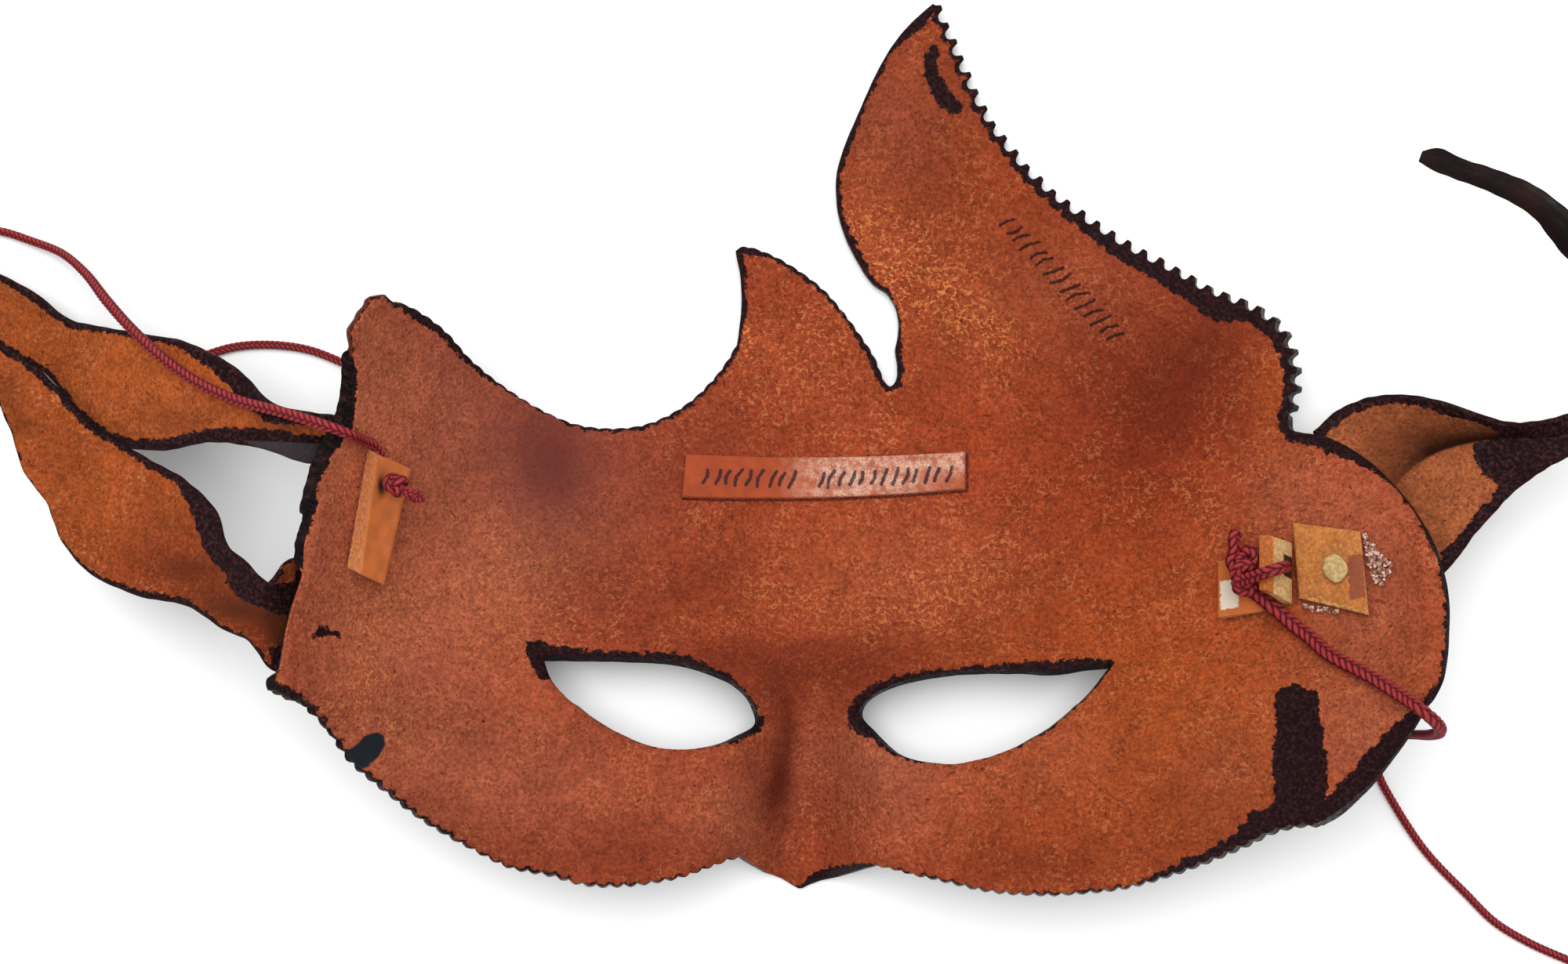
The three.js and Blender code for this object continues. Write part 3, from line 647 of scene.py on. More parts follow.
def add_dye(look, colour, light):
    """Dark dye over suede, with ragged edges. Returns the colour and the roughness."""
    ragged = look.patches(1.7, 2.0, 0.25, 0.75, -0.45, 0.4)
    ragged = look.math("ADD", ragged, look.patches(0.45, 2.0, 0.25, 0.75, -0.22, 0.22))
    dyed = look.step(look.math("ADD", look.attribute("dye"), ragged), -0.16, 0.16)
    dye = look.mix(look.patches(0.7, 3.0, 0.42, 0.72), DYE, light)
    return look.mix(dyed, colour, dye), look.step(dyed, 0, 1, 0.95, 0.6)


def make_mask_suede():
    look = Look("mask_suede", {"Specular IOR Level": DRY})
    # the tints bring painted sheen on the temples and painted light along the left edge
    colour, nap, fibres = add_suede(look, look.tint(MASK_TONE, TINTS))
    rubbed = look.math("MAXIMUM", look.patches(0.9, 4.0, 0.46, 0.7, 0.0, 0.45, curl=2.0), fibres)
    # rubbed, paler fibres: wear, and along the left edge painted light
    colour = look.mix(look.math("MULTIPLY", look.attribute("worn"), rubbed), colour, RUBBED)
    # painted shade, mauve where the left temple rises and dark red in the nose's groove and along the brow;
    # the dark red also darkens broad patches
    colour, roughness = add_dye(look, look.tint(colour, {"mauve_shade": MAUVE_SHADE, "shade": SHADE}), DYE_LIGHT)
    colour = look.mix(look.step(look.attribute("teal"), -0.2, 0.3), colour, TEAL)
    pen = look.step(look.ragged("ink", 0.5, 2.0, 0.12), -0.1, 0.1, 0.0, 0.92)
    return look.finish(look.mix(pen, colour, INK), roughness, nap, *NAP_RELIEF)


def make_leaf_suede(name, tone):
    look = Look(name, {"Specular IOR Level": DRY})
    colour, nap, _ = add_suede(look, look.tint(tone, {"red": TINTS["red"]}))
    colour = look.tint(colour, {"shade": LEAF_SHADE, "deep": DEEP_SHADE})
    colour, roughness = add_dye(look, colour, LEAF_DYE)
    return look.finish(look.tint(colour, {"grain": GRAIN_SIDE}), roughness, nap, *NAP_RELIEF)


def make_outer_leather():
    look = Look("outer_leather", {"IOR": DULL})
    colour = look.mix(look.patches(9, 4.0, 0.35, 0.7), *OUTER_TONES)
    roughness = look.patches(3, 3.0, 0.3, 0.7, 0.4, 0.65)
    return look.finish(colour, roughness, look.math("ADD", look.noise(0.9, 3.0), look.noise(0.3)), 0.1, 0.6)


def make_cut_edge():
    look = Look("cut_edge", {"IOR": DULL})
    grain = look.noise(1.3, 4.0)
    black = look.mix(look.step(grain, 0.45, 0.75), DYE_GLOSS, DYE_LIGHT)
    raw = look.step(look.ragged("raw", 2.0, 3.0, 0.4), 0.35, 0.65)
    roughness = look.step(grain, 0.3, 0.7, 0.12, 0.55)
    relief = look.math("ADD", grain, look.noise(0.6))
    return look.finish(look.mix(raw, black, RAW_EDGE), roughness, relief, 0.9, 1.0)


def make_strap_leather(name, tone, pale_tones, grain):
    """Undyed leather: smooth on top, with paler flesh and cut edges where the attribute flesh says.

    Grain, from 0 to 1, is how rough the top is. Other attributes: white paint, stain, and painted shade at a
    hole.
    """
    look = Look(name, {"Specular IOR Level": 0.15})
    fibres = look.noise(0.7, 4.0)
    uneven = look.step(fibres, 0.35, 0.65, 1 - 0.2 * grain, 1 + 0.25 * grain)
    colour = look.brighten(look.mottle(tone, 3.5, 4.0), uneven)
    flecks = look.patches(0.9, 2.0, 0.56, 0.7, 0.0, 0.6 * grain, curl=2.0)
    colour = look.mix(flecks, colour, pale_tones[1])
    flesh = look.step(look.ragged("flesh", 0.7, 2.0, 0.15), 0.1, 0.9)
    colour = look.mix(flesh, colour, look.mix(look.step(fibres, 0.35, 0.65), *pale_tones))
    for mark, mark_tone, share in (("white", WHITE_PAINT, 0.95), ("stain", STAIN, 0.85)):
        spread = look.ragged(mark, 0.8, 3.0, 0.2)
        colour = look.mix(look.step(spread, -0.15, 0.2, 0.0, share), colour, mark_tone)
    # painted shade at a hole
    colour = look.mix(look.step(look.attribute("soot"), 0, 1), colour, HOLE_SHADE)
    roughness = look.step(flesh, 0, 1, 0.6 + 0.3 * grain, 0.95)
    relief = look.math("MULTIPLY", fibres, look.step(flesh, 0, 1, grain, 1.0))
    return look.finish(colour, roughness, relief, 0.3, 0.9)


def make_label_leather():
    look = Look("label_leather", {"Specular IOR Level": 0.16})
    inputs = {"Vector": look.place, "Scale": 1 / (0.6 * MM)}
    cells = look.add("TexVoronoi", inputs, feature="DISTANCE_TO_EDGE")
    crackle = look.step(cells.outputs["Distance"], 0.02, 0.12)
    patchy = look.patches(1.6, 4.0, 0.35, 0.62, 0.25, 1.0)
    patchy = look.math("MULTIPLY", patchy, look.attribute("glaze_and_sheen"))
    glaze_and_sheen = look.math("MULTIPLY", patchy, look.step(crackle, 0, 1, 0.3, 0.72))
    # glaze over the label's right part: a crackled finish whose pale colour is partly painted sheen
    colour = look.mix(glaze_and_sheen, look.mottle(LABEL_TONE, 3), LABEL_GLAZE_AND_SHEEN)
    pen = look.step(look.ragged("ink", 0.4, 2.0, 0.08), -0.08, 0.08, 0.0, 0.92)
    relief = look.math("MULTIPLY", crackle, look.step(patchy, 0, 1, 0.1, 1.0))
    return look.finish(look.mix(pen, colour, LABEL_INK), look.step(patchy, 0, 1, 0.8, 0.4), relief, 0.05, 0.7)


def make_cord_look():
    look = Look("cord", {"Specular IOR Level": 0.12})
    hairs = look.noise(0.25, 3.0)
    # painted highlight on the stitches' crests and painted shade in the grooves between them
    colour = look.mix(look.step(look.attribute("groove_shade"), 0.1, 0.78), *CORD_LIT_AND_SHADED)
    colour = look.brighten(colour, look.step(hairs, 0.3, 0.7, 0.7, 1.35))
    return look.finish(colour, 0.62, hairs, 0.08, 0.6)


def make_peg_look():
    look = Look("peg", {"Specular IOR Level": 0.4})
    colour = look.mix(look.patches(0.9, 3.0, 0.35, 0.65), *PEG_TONES)
    return look.finish(colour, 0.5, look.noise(0.8), 0.2, 0.7)


def make_glue_look():
    look = Look("dried_glue", {"Specular IOR Level": 0.6, "Roughness": 0.15})
    look.put("Base Color", look.mix(look.patches(0.9, 2.0, 0.42, 0.62), *GLUE_TONES))
    return look.material


mask_suede = make_mask_suede()
upper_leaf_suede = make_leaf_suede("upper_leaf_suede", (0.29, 0.063, 0.0145))
left_leaf_suede = make_leaf_suede("left_leaf_suede", (0.25, 0.052, 0.0125))
right_leaf_suede = make_leaf_suede("right_leaf_suede", (0.24, 0.066, 0.0235))
outer_leather = make_outer_leather()
cut_edge_look = make_cut_edge()
left_tab_leather = make_strap_leather(
    "left_tab_leather", (0.45, 0.12, 0.032), ((0.43, 0.135, 0.045), (0.55, 0.22, 0.085)), grain=0.1
)
right_tab_leather = make_strap_leather(
    "right_tab_leather", (0.38, 0.092, 0.016), ((0.42, 0.23, 0.08), (0.54, 0.35, 0.16)), grain=0.1
)
patch_suede = make_strap_leather(
    "patch_suede", (0.36, 0.125, 0.03), ((0.36, 0.15, 0.045), (0.55, 0.3, 0.12)), grain=0.8
)
label_leather = make_label_leather()
cord_material = make_cord_look()
peg_look = make_peg_look()
glue_look = make_glue_look()


# Mask: outlines in plan, clockwise, with the width of the dark dye beside them

# Teeth: how far apart they are, and one tooth as shares of that and of its depth
SCALLOP = {
    "pitch": 2.9,
    "tooth": [(0, -0.5), (0.12, -0.12), (0.28, 0.25), (0.5, 0.5), (0.72, 0.25), (0.88, -0.12)],
}
BLOCK = {
    "pitch": 3.7,
    "tooth": [
        (0, -0.5), (0.13, -0.45), (0.23, -0.2), (0.28, 0.15), (0.32, 0.45), (0.41, 0.5), (0.5, 0.48),
        (0.6, 0.44), (0.67, 0.12), (0.74, -0.22), (0.86, -0.45),
    ],
}


def stretch(*points, dye, **teeth):
    """A stretch of rim: its points, the dye's width at even steps, and any teeth with their depth."""
    return {"points": points, "dye": dye, **teeth}


RIM = [
    # crown, from the left peak to the small flame
    stretch(
        (-81.3, 38.2), (-80.2, 36.9), (-77.8, 36.4), (-74.6, 34.8), (-70.6, 32), (-68.2, 29.8), (-64, 25),
        (-56, 18.6), (-48, 13.9), (-41.6, 11.5), (-33.6, 10.9), (-27.2, 12), (-20.8, 15.2), (-16, 19.2),
        (-12, 24), (-9.6, 28),
        teeth=SCALLOP, depth=0.3,
        dye=[0.2, 2.1, 1.3, 1.3, 0.6, 0.2, 0.5, 0.8, 0.7, 0.8, 0.9, 0.8, 0.9],
    ),
    stretch(
        (-9.6, 28), (-8.8, 34.4), (-8.8, 40.8), (-9.9, 47.2),
        dye=[0.9, 1.1, 1.0, 1.8],
    ),
    stretch(
        (-9.9, 47.2), (-8.3, 48), (-4, 46.9), (1.6, 44), (8, 39.2), (12.8, 33.6), (16.8, 28), (18.6, 25),
        (20.2, 20.9),
        teeth=SCALLOP, depth=0.3,
        dye=[2.2, 1.0, 0.8, 0.7, 0.6, 1.3, 1.5],
    ),
    # slot, then the tall flame's left side up to its tip
    stretch(
        (20.2, 20.9), (21.6, 19.5), (22.9, 20.8), (23.2, 23.6), (22.7, 27), (23.3, 29.8), (23.4, 32.8),
        (22.6, 36), (20.9, 38.6), (18.2, 40.4), (14.4, 46.2), (11.6, 52.8), (10.6, 60), (11.3, 65.4),
        (15.5, 76), (20, 85.6), (24, 91.6), (28, 95.6), (31, 98.2),
        dye=[
            1.2, 1.3, 1.4, 0.3, 0.4, 0.9, 1.5, 1.5, 1.2, 1.1, 1.0, 1.3, 1.3, 0.6, 1.2, 0.7, 1.6, 2.2, 2.6,
        ],
    ),
    stretch(
        (31, 98.2), (32.8, 93.6), (37.6, 82.4), (41.6, 74.4), (48, 65.8), (54.4, 59.4), (65, 51.7),
        (72.6, 47), (80, 43.2), (86.2, 39.6), (92.5, 37), (97.9, 34.2), (101.9, 30.2), (103.7, 24.8),
        (104.1, 19.4), (102.9, 13.6),
        teeth=BLOCK, depth=1.65,
        dye=[
            1.6, 1.0, 0.9, 1.0, 1.1, 1.2, 1.5, 1.6, 1.9, 2.1, 2.6, 3.0, 3.2, 3.6, 5.2, 2.4, 2.4, 2.0, 1.4,
            1.6,
        ],
    ),
    # right temple
    stretch(
        (102.9, 13.6), (103.2, 10.9), (105.6, 10.1), (110.4, 9.4), (115.8, 6.5), (121.2, 2), (127.2, -5.4),
        (131, -12.4), (133.3, -20.2), (134, -28), (133.3, -37.2), (130.9, -43.4), (127, -50.4),
        (122.4, -56.8), (117.8, -62.4), (111.8, -68), (108.8, -69.7),
        dye=[1.8, 2.2, 3.2, 1.6, 0.3, 0.1, 0.1, 0.1, 0.1, 0.2, 0.2, 0.3, 1.0, 2.8, 3.6, 4.0, 3.6, 3.4],
    ),
    stretch(
        (108.8, -69.7), (104, -70), (99.2, -71.2), (94.4, -73.6), (83.2, -78.4), (70.4, -82.4),
        (60.8, -83.7), (51.2, -84), (41.6, -83.2), (32, -81.1), (17.4, -78.2),
        teeth=SCALLOP, depth=0.65,
        dye=[4.4, 4.6, 5.0, 2.4, 1.8, 1.9, 1.2, 0.3, 0.3, 0.3, 0.3, 0.3, 0.2, 0.2, 0.2, 0.2, 0.2, 0.2],
    ),
    stretch(
        (17.4, -78.2), (11.2, -80.2), (5, -82.6), (3.4, -83.3), (2.6, -83), (-2.4, -80), (-7.5, -76.6),
        dye=[0.4, 1.8, 2.2, 0.0, -0.5, -0.5],
    ),
    stretch(
        (-7.5, -76.6), (-16, -79.2), (-22.4, -80.8), (-32, -82.1), (-40, -82.1), (-48, -80), (-56, -78.4),
        (-64, -74.4), (-72, -69.6), (-80, -63.2), (-86.4, -57.6), (-91.2, -51.2), (-95.2, -46.9),
        (-98.2, -45), (-102.6, -42.4),
        teeth=SCALLOP, depth=0.65,
        dye=[0.1, 0.2, 0.2, 0.3, 0.3, 0.3, 0.4, 0.4, 0.4, 0.4, 0.4, 0.4, 0.4, 0.4, 0.6, 0.8],
    ),
    # left edge, up to the left peak
    stretch(
        (-102.6, -42.4), (-103, -40.6), (-102.4, -38.4), (-101.6, -33.6), (-101.2, -30.6), (-99.5, -24.6),
        (-97.6, -18.6), (-97, -12.6), (-95.6, -7.4), (-95.4, -0.8), (-93, 4.4), (-88.5, 11.5), (-87.6, 20.6),
        (-87.8, 26.2), (-88.4, 31), (-86.9, 33.2), (-86.2, 34.8), (-85, 36), (-84.5, 37.5), (-81.3, 38.2),
        dye=[-0.4, -1.6, -1.6, -1.6, -1.0, 0.3, 0.3, 0.3, 0.3, 0.3, 0.3, 0.1, 0.3, 0.4],
    ),
]
EYES = [
    stretch(
        (-49.2, -34.9), (-41.3, -35), (-30.6, -35.2), (-21.3, -36), (-15.2, -37.9), (-10.2, -40.4),
        (-6.9, -43.6), (-5.2, -46.6), (-4.1, -50.4), (-7.8, -52.3), (-12.6, -53.7), (-20.8, -54.6),
        (-26.4, -54.1), (-32.5, -52), (-38.7, -48.5), (-44.3, -43.9), (-47.7, -39.5), (-49.2, -34.9),
        dye=[
            2.4, 1.2, 0.9, 0.9, 0.9, 1.1, 0.9, 0.7, 0.5, 0.4, 0.4, 0.3, -0.2, -0.2, -0.2, -0.1, -0.2, -0.2,
            -0.2, 0.2, 1.6,
        ],
    ),
    stretch(
        (67, -36.4), (61.3, -37), (55.7, -37.9), (46.9, -37.6), (34.7, -38), (28.6, -39), (24.1, -40.1),
        (19, -42.5), (15.6, -45.6), (14.2, -48.5), (17.1, -51.5), (20.4, -54.1), (24.4, -56.1),
        (33.6, -57.5), (39.8, -56.6), (45.9, -54.7), (52, -51.7), (56.6, -48.6), (60.8, -44.5), (67, -36.4),
        dye=[
            0.5, 1.3, 1.6, 1.2, 0.6, 0.4, 0.7, 1.2, 1.8, 1.7, 0.6, 0.3, 0.1, 0, 0, 0.1, 0.2, 0.2, 0.4, 0.5,
        ],
    ),
]
# Dark marks away from the rim: dye, and at the slit painted shade in the dye's colour
MARKS_AND_SLIT_SHADE = [
    [
        (100.6, -42.7), (102.4, -41.8), (104.3, -41.1), (106.2, -42.1), (109.1, -43), (109.6, -48.8),
        (110.4, -55.2), (110.9, -60), (110.4, -64.8), (112, -67.4), (110.4, -70.9), (104, -71.2),
        (96, -72.5), (94.4, -71.5), (97.6, -68.8), (100, -66.4), (100, -61.6), (99.7, -55.2), (100.5, -50.4),
        (100.2, -45.6),
    ],
    [
        (30.9, 89.5), (29.2, 88.1), (28.5, 85.6), (28.7, 82.4), (30, 79.4), (32, 76.8), (34.4, 75.2),
        (36.3, 74.7), (36.1, 77.1), (34.3, 78.8), (33.1, 80.8), (32.1, 82.8), (31.4, 85.1), (31.6, 87.6),
    ],
    # slit at the left edge: painted shade in the cut
    [
        (-97.2, -31.8), (-95.8, -30.7), (-95, -29.8), (-93.6, -29.5), (-93.4, -30.2), (-91, -30.6),
        (-90.6, -32.2), (-91.4, -31.4), (-93.4, -31.3), (-95, -31.6), (-96, -31.5),
    ],
    # lower left corner
    [
        (-105.1, -41.1), (-103.8, -39.6), (-102, -41.6), (-100.3, -42.2), (-97.3, -44.2), (-94.8, -46.2),
        (-98.2, -47.4), (-102.7, -44.2), (-104.8, -43),
    ],
    # outer corner of the left eye
    [
        (-52.5, -32.3), (-49.6, -32.4), (-47.4, -33.8), (-48.3, -36.3), (-47.6, -39.6), (-49.4, -40.5),
        (-51, -38.4), (-52.4, -35.2),
    ],
]
TEAL_MARK = [
    (-88.5, -55.5), (-87.2, -53.6), (-85.6, -51.7), (-83.2, -51), (-81.6, -51.7), (-81.3, -53.6),
    (-82.6, -56), (-84.3, -57.6), (-84.8, -59.2), (-86.4, -58.1),
]
# Soft spots of tone: plan point, reach along u and v, amount. Spots that darken the nose's groove, the brow
# and the rise of the left temple are painted shade; the pinker spots on the temples are painted sheen; the
# paler and rubbed spots along the left edge are painted light.
TONES = {
    "red": [
        (64, -8, 30, 16, 0.75), (72, 12, 14, 14, 0.7), (88, 14, 9, 14, 0.6), (38, 10, 12, 8, 0.4),
        (56, -28, 16, 8, 0.6),
    ],
    "orange": [
        (76, -48, 42, 35, 1.0), (40, 60, 30, 45, 0.3), (115, -30, 18, 30, 0.5), (100, 16, 5, 12, 0.9),
        (8, -14, 14, 8, 0.4),
    ],
    # pinker spots; those on both temples are painted sheen
    "pink": [
        (-80, -25, 28, 45, 1.0), (-50, -62, 35, 16, 0.6), (118, -20, 14, 26, 0.8), (90, -60, 10, 12, 0.3),
        (-76, 16, 14, 22, 0.9), (-58, -12, 10, 14, 0.6), (22, 74, 12, 14, 0.5), (14, -56, 22, 9, 0.6),
        (26, -18, 24, 12, 0.25), (118, -54, 14, 12, 0.6), (56, -54, 14, 10, 0.3), (102, -4, 10, 12, 0.45),
        (-50, 8, 24, 18, 0.45), (-10, -70, 10, 8, 0.5), (24, -70, 12, 8, 0.4), (-44, -10, 16, 14, 0.45),
        (58, 40, 14, 10, 0.3), (24, -58, 12, 8, 0.4),
    ],
    # paler spots, mostly painted light along the left edge
    "pale": [
        (-88, -6, 8, 28, 0.45), (-84, 32, 6, 8, 0.5), (-58, -20, 14, 13, 0.3), (-8, -70, 8, 8, 0.25),
    ],
    # rubbed fibres: wear, and along the left edge painted light
    "worn": [
        (15, 51, 4, 5, 0.7), (21, 55, 5, 4, 0.5), (22, 45, 5, 5, 0.8), (24, 37, 5, 6, 0.5),
        (33, 40, 7, 6, 0.7), (38, 33, 6, 6, 0.7), (44, 28.5, 5, 3, 0.5), (26, 48, 10, 10, 0.3),
        (-8, 30, 3, 4, 0.9), (6, -45, 2.2, 6, 0.5), (4, 24, 16, 10, 0.35), (10, -27, 22, 6, 0.4),
        (34, -20, 15, 8, 0.6), (86, -2, 6, 12, 0.25), (-84, -14, 7, 34, 0.6), (-56, -20, 16, 14, 0.45),
        (-86, -44, 8, 10, 0.3),
    ],
    # painted shade where the left temple rises, in a mauve colour
    "mauve_shade": [(-47, 4, 9, 14, 0.5), (-46, 4, 23, 20, 0.42), (-59, 11, 9, 9, 0.16), (-64, 22, 8, 8, 0.16)],
    "shade": [
        (-40, -22, 10, 9, 0.2), (85, -50, 10, 9, 0.1), (76, 16, 17, 17, 0.62), (86, 30, 10, 9, 0.3),
        (0.9, -51, 1.8, 6, 0.45), (-0.4, -59, 2.2, 6, 0.52), (-2.4, -65, 2.8, 6, 0.42), (-4, -62, 5, 9, 0.2),
        (0, -33.6, 16, 2, 0.15), (2, -39, 15, 6, 0.42), (-14, -36, 7, 2.6, 0.25), (26, -36, 14, 7, 0.2),
        (30, 78, 30, 22, 0.25), (-2, -46, 4, 6, 0.25), (-52, -76, 36, 8, 0.36), (54, -78, 24, 6, 0.3),
        (-66, -52, 16, 14, 0.16), (-2, -20, 40, 10, 0.08), (78, -66, 18, 12, 0.24), (-14, 17, 12, 8, 0.16),
        (56, -14, 16, 14, 0.16), (10, -56, 100, 28, 0.1), (-76, -68, 14, 8, 0.2), (26, 64, 20, 16, 0.14),
        (60, 40, 22, 14, 0.14), (10, -38, 30, 9, 0.15), (-32, 0, 22, 20, 0.1), (-22, -20, 12, 9, 0.16),
        (90, 24, 10, 12, 0.12),
    ],
}
# Rows of pen strokes: start, end, how many, how tall, seed
MASK_PEN = [((44.2, 54.4), (68, 29.4), 15, 4.2, 5)]
LABEL_PEN = [((-17.4, 1.2), (2.4, 0.5), 9, 3.3, 3), ((5.8, 0.4), (34, 1.6), 13, 3.3, 8)]
PEN = 0.3  # half the width of a stroke
PEN_REACH = 0.5  # how far around the strokes the mesh is finer
PEN_AREA = (42, 26), (72, 58)
BEVEL = 2.6  # how far in from the cut edge the sheet gets thinner


def scatter(i, j):
    """Repeatable scatter from -0.5 to 0.5."""
    value = np.sin(np.asarray(i) * 12.9898 + np.asarray(j) * 78.233) * 43758.5453
    return value - np.floor(value) - 0.5


def cut_edge(part, seed):
    """A stretch of rim as plan points and dye widths, without its last one."""
    line = curve_through(part["points"])
    total = measure(line)[-1]
    if "teeth" in part:
        count = round(total / part["teeth"]["pitch"])
        shares, heights = np.array(part["teeth"]["tooth"]).T
        tooth = np.repeat(np.arange(count), len(shares))
        lean = 0.05 * scatter(tooth, seed) * (shares[None] > 0).repeat(count, 0).ravel()
        distance = (tooth + np.tile(shares, count) + lean) * total / count
        size = part["depth"] * (1 + 0.4 * scatter(tooth, seed + 3) * (np.tile(heights, count) > 0))
        out = np.tile(heights, count) * size
    else:
        distance = np.linspace(0, total, max(2, round(total / 0.7)), endpoint=False)
        out = 0.07 * wave(distance, 0 * distance, 5.0, seed)
    out = np.where(distance < 0.1, 0, out)
    at = at_distance(line, distance)
    along = unit(at_distance(line, distance + 0.2) - at_distance(line, distance - 0.2))
    at = at + out[:, None] * np.stack([-along[:, 1], along[:, 0]], axis=1)
    widths = np.interp(distance / total, np.linspace(0, 1, len(part["dye"])), part["dye"])
    return at, widths


def inside(u, v, outline):
    """Whether each plan point is inside a closed outline."""
    odd = np.zeros(len(u), bool)
    for (au, av), (bu, bv) in zip(outline, np.roll(outline, 1, axis=0)):
        crossing = (av > v) != (bv > v)
        odd ^= crossing & (u < au + (v - av) * (bu - au) / ((bv - av) or 1))
    return odd


def line_distance(u, v, line):
    """How far each plan point is from a line."""
    best = np.full(len(u), 1e3)
    for (au, av), (bu, bv) in zip(line, line[1:]):
        reach = (bu - au) ** 2 + (bv - av) ** 2
        t = np.clip(((u - au) * (bu - au) + (v - av) * (bv - av)) / reach, 0, 1)
        best = np.minimum(best, np.hypot(u - au - t * (bu - au), v - av - t * (bv - av)))
    return best


def depth_inside(u, v, outline):
    """How deep each plan point is inside an outline. Outside it is negative."""
    closed = np.vstack([outline, outline[:1]])
    return line_distance(u, v, closed) * np.where(inside(u, v, closed[:-1]), 1, -1)


def hexagon_points(low, high, step):
    """Rows of plan points, a little scattered."""
    rows = np.arange(math.floor(low[1] / (step * 0.866)), math.ceil(high[1] / (step * 0.866)) + 1)
    columns = np.arange(math.floor(low[0] / step), math.ceil(high[0] / step) + 1)
    i, j = [grid.ravel() for grid in np.meshgrid(columns, rows)]
    u = (i + (j % 2) / 2 + 0.2 * scatter(i, j)) * step
    v = (j + 0.2 * scatter(j, i + 7)) * step * 0.866
    return np.stack([u, v], axis=1)


def pen_strokes(rows):
    """Rows of short slanted pen strokes, each row along a line from start to end."""
    strokes = []
    for start, end, count, tall, seed in rows:
        start, way = np.array(start), np.array(end) - np.array(start)
        ahead = unit(way)
        up = np.array([-ahead[1], ahead[0]])
        for k in range(count):
            size = tall * (0.85 + 0.35 * scatter(k, seed))
            foot = start + way * (k + 0.5 + 0.25 * scatter(k, seed + 1)) / count - up * size / 2
            lean = 0.4 + 0.16 * scatter(k, seed + 2)
            bow = 0.7 * scatter(k, seed + 3)
            middle = foot + up * size / 2 + ahead * size * (lean / 2 + bow / 2)
            strokes.append(np.array([foot, middle, foot + up * size + ahead * size * lean]))
    return strokes


def pen_depth(u, v, strokes):
    """How deep plan points are inside the nearest pen stroke."""
    return PEN - np.min([line_distance(u, v, stroke) for stroke in strokes], axis=0)


def tone_at(u, v, spots):
    """How much of a tone soft spots give at plan points, from 0 to 1."""
    total = np.zeros(len(u))
    for at_u, at_v, reach_u, reach_v, amount in spots:
        total += amount * np.exp(-((u - at_u) / reach_u) ** 2 - ((v - at_v) / reach_v) ** 2)
    return np.clip(total, 0, 1)


def rim_form(u, v, at_eye):
    """The cut edge beside plan points: how much thinner it is, how far from below, how round and ragged."""
    # the left edge, the left peak and the rolled stretch below it
    left = smooth((-84 - u) / 3)
    peak = smooth((-76 - u) / 3) * smooth((v - 24.5) / 3)
    rounded = left * smooth((-16 - v) / 3) * smooth((v + 40) / 2)
    below = np.maximum(peak, rounded)
    # the right temple, the left edge, below the nose, and the lower left rim
    thinner = 1.9 * smooth((u - 106) / 8) * smooth((v + 68) / 8)
    thinner = thinner + 2.3 * below + 0.9 * left * smooth((-6.2 - v) / 0.8) * (1 - below)
    thinner = thinner + 1.6 * smooth((-62 - v) / 6) * smooth((26 - np.abs(u - 2)) / 6)
    thinner = thinner + 1.2 * smooth((-48 - u) / 8) * smooth((-42 - v) / 6) * (1 - below)
    thinner = np.minimum(np.where(at_eye, 1.1, thinner), 2.4)
    # torn fibres at the left edge, which stand out most at its notch
    ragged = 0.25 * (wave(v, 0 * v, 2.2, 3) + wave(v, 0 * v, 0.9, 5))
    ragged = ragged + 2.1 * np.exp(-((v - 11) / 6.5) ** 2) - 0.9 * np.exp(-((v / 2) ** 2))
    ragged = ragged + 1.1 * smooth((v + 6.8) / 0.5) * smooth((-3.8 - v) / 0.8)
    return thinner, below, rounded, ragged * left * (1 - below)


def on_mask(points, outline, holes):
    """Whether plan points are inside the outline and outside both eye holes."""
    return inside(*points.T, outline) & ~inside(*points.T, holes[0]) & ~inside(*points.T, holes[1])


def mask_plan(edge, outline, holes, near, strokes):
    """The mask's plan points, the edge's first, and the triangles between them."""
    fill = hexagon_points(edge.min(axis=0), edge.max(axis=0), FILL_STEP)
    nib = hexagon_points(*PEN_AREA, NIB_STEP)
    by_pen = [pen_depth(*points.T, strokes) > -PEN_REACH for points in (fill, nib)]
    fill = np.vstack([fill[~by_pen[0]], nib[by_pen[1]]])
    fill = fill[on_mask(fill, outline, holes)]
    gap = np.array([near.find((u, v, 0))[2] for u, v in fill])
    points = np.vstack([edge, fill[gap > 0.45 * FILL_STEP]])
    edges = []
    start = 0
    for count in (len(outline), len(holes[0]), len(holes[1])):
        edges += [(start + i, start + (i + 1) % count) for i in range(count)]
        start += count
    found = delaunay_2d_cdt([Vector(p) for p in points], edges, [], 0, 1e-7)
    if len(found[0]) != len(points):
        raise ValueError("the mask's outlines cross")
    triangles = np.array(found[2])
    triangles = triangles[on_mask(points[triangles].mean(axis=1), outline, holes)]
    a, b, c = (points[triangles[:, k]] for k in range(3))
    turned = (b - a)[:, 0] * (c - a)[:, 1] - (b - a)[:, 1] * (c - a)[:, 0] < 0
    triangles[turned] = triangles[turned][:, ::-1]
    return points, triangles


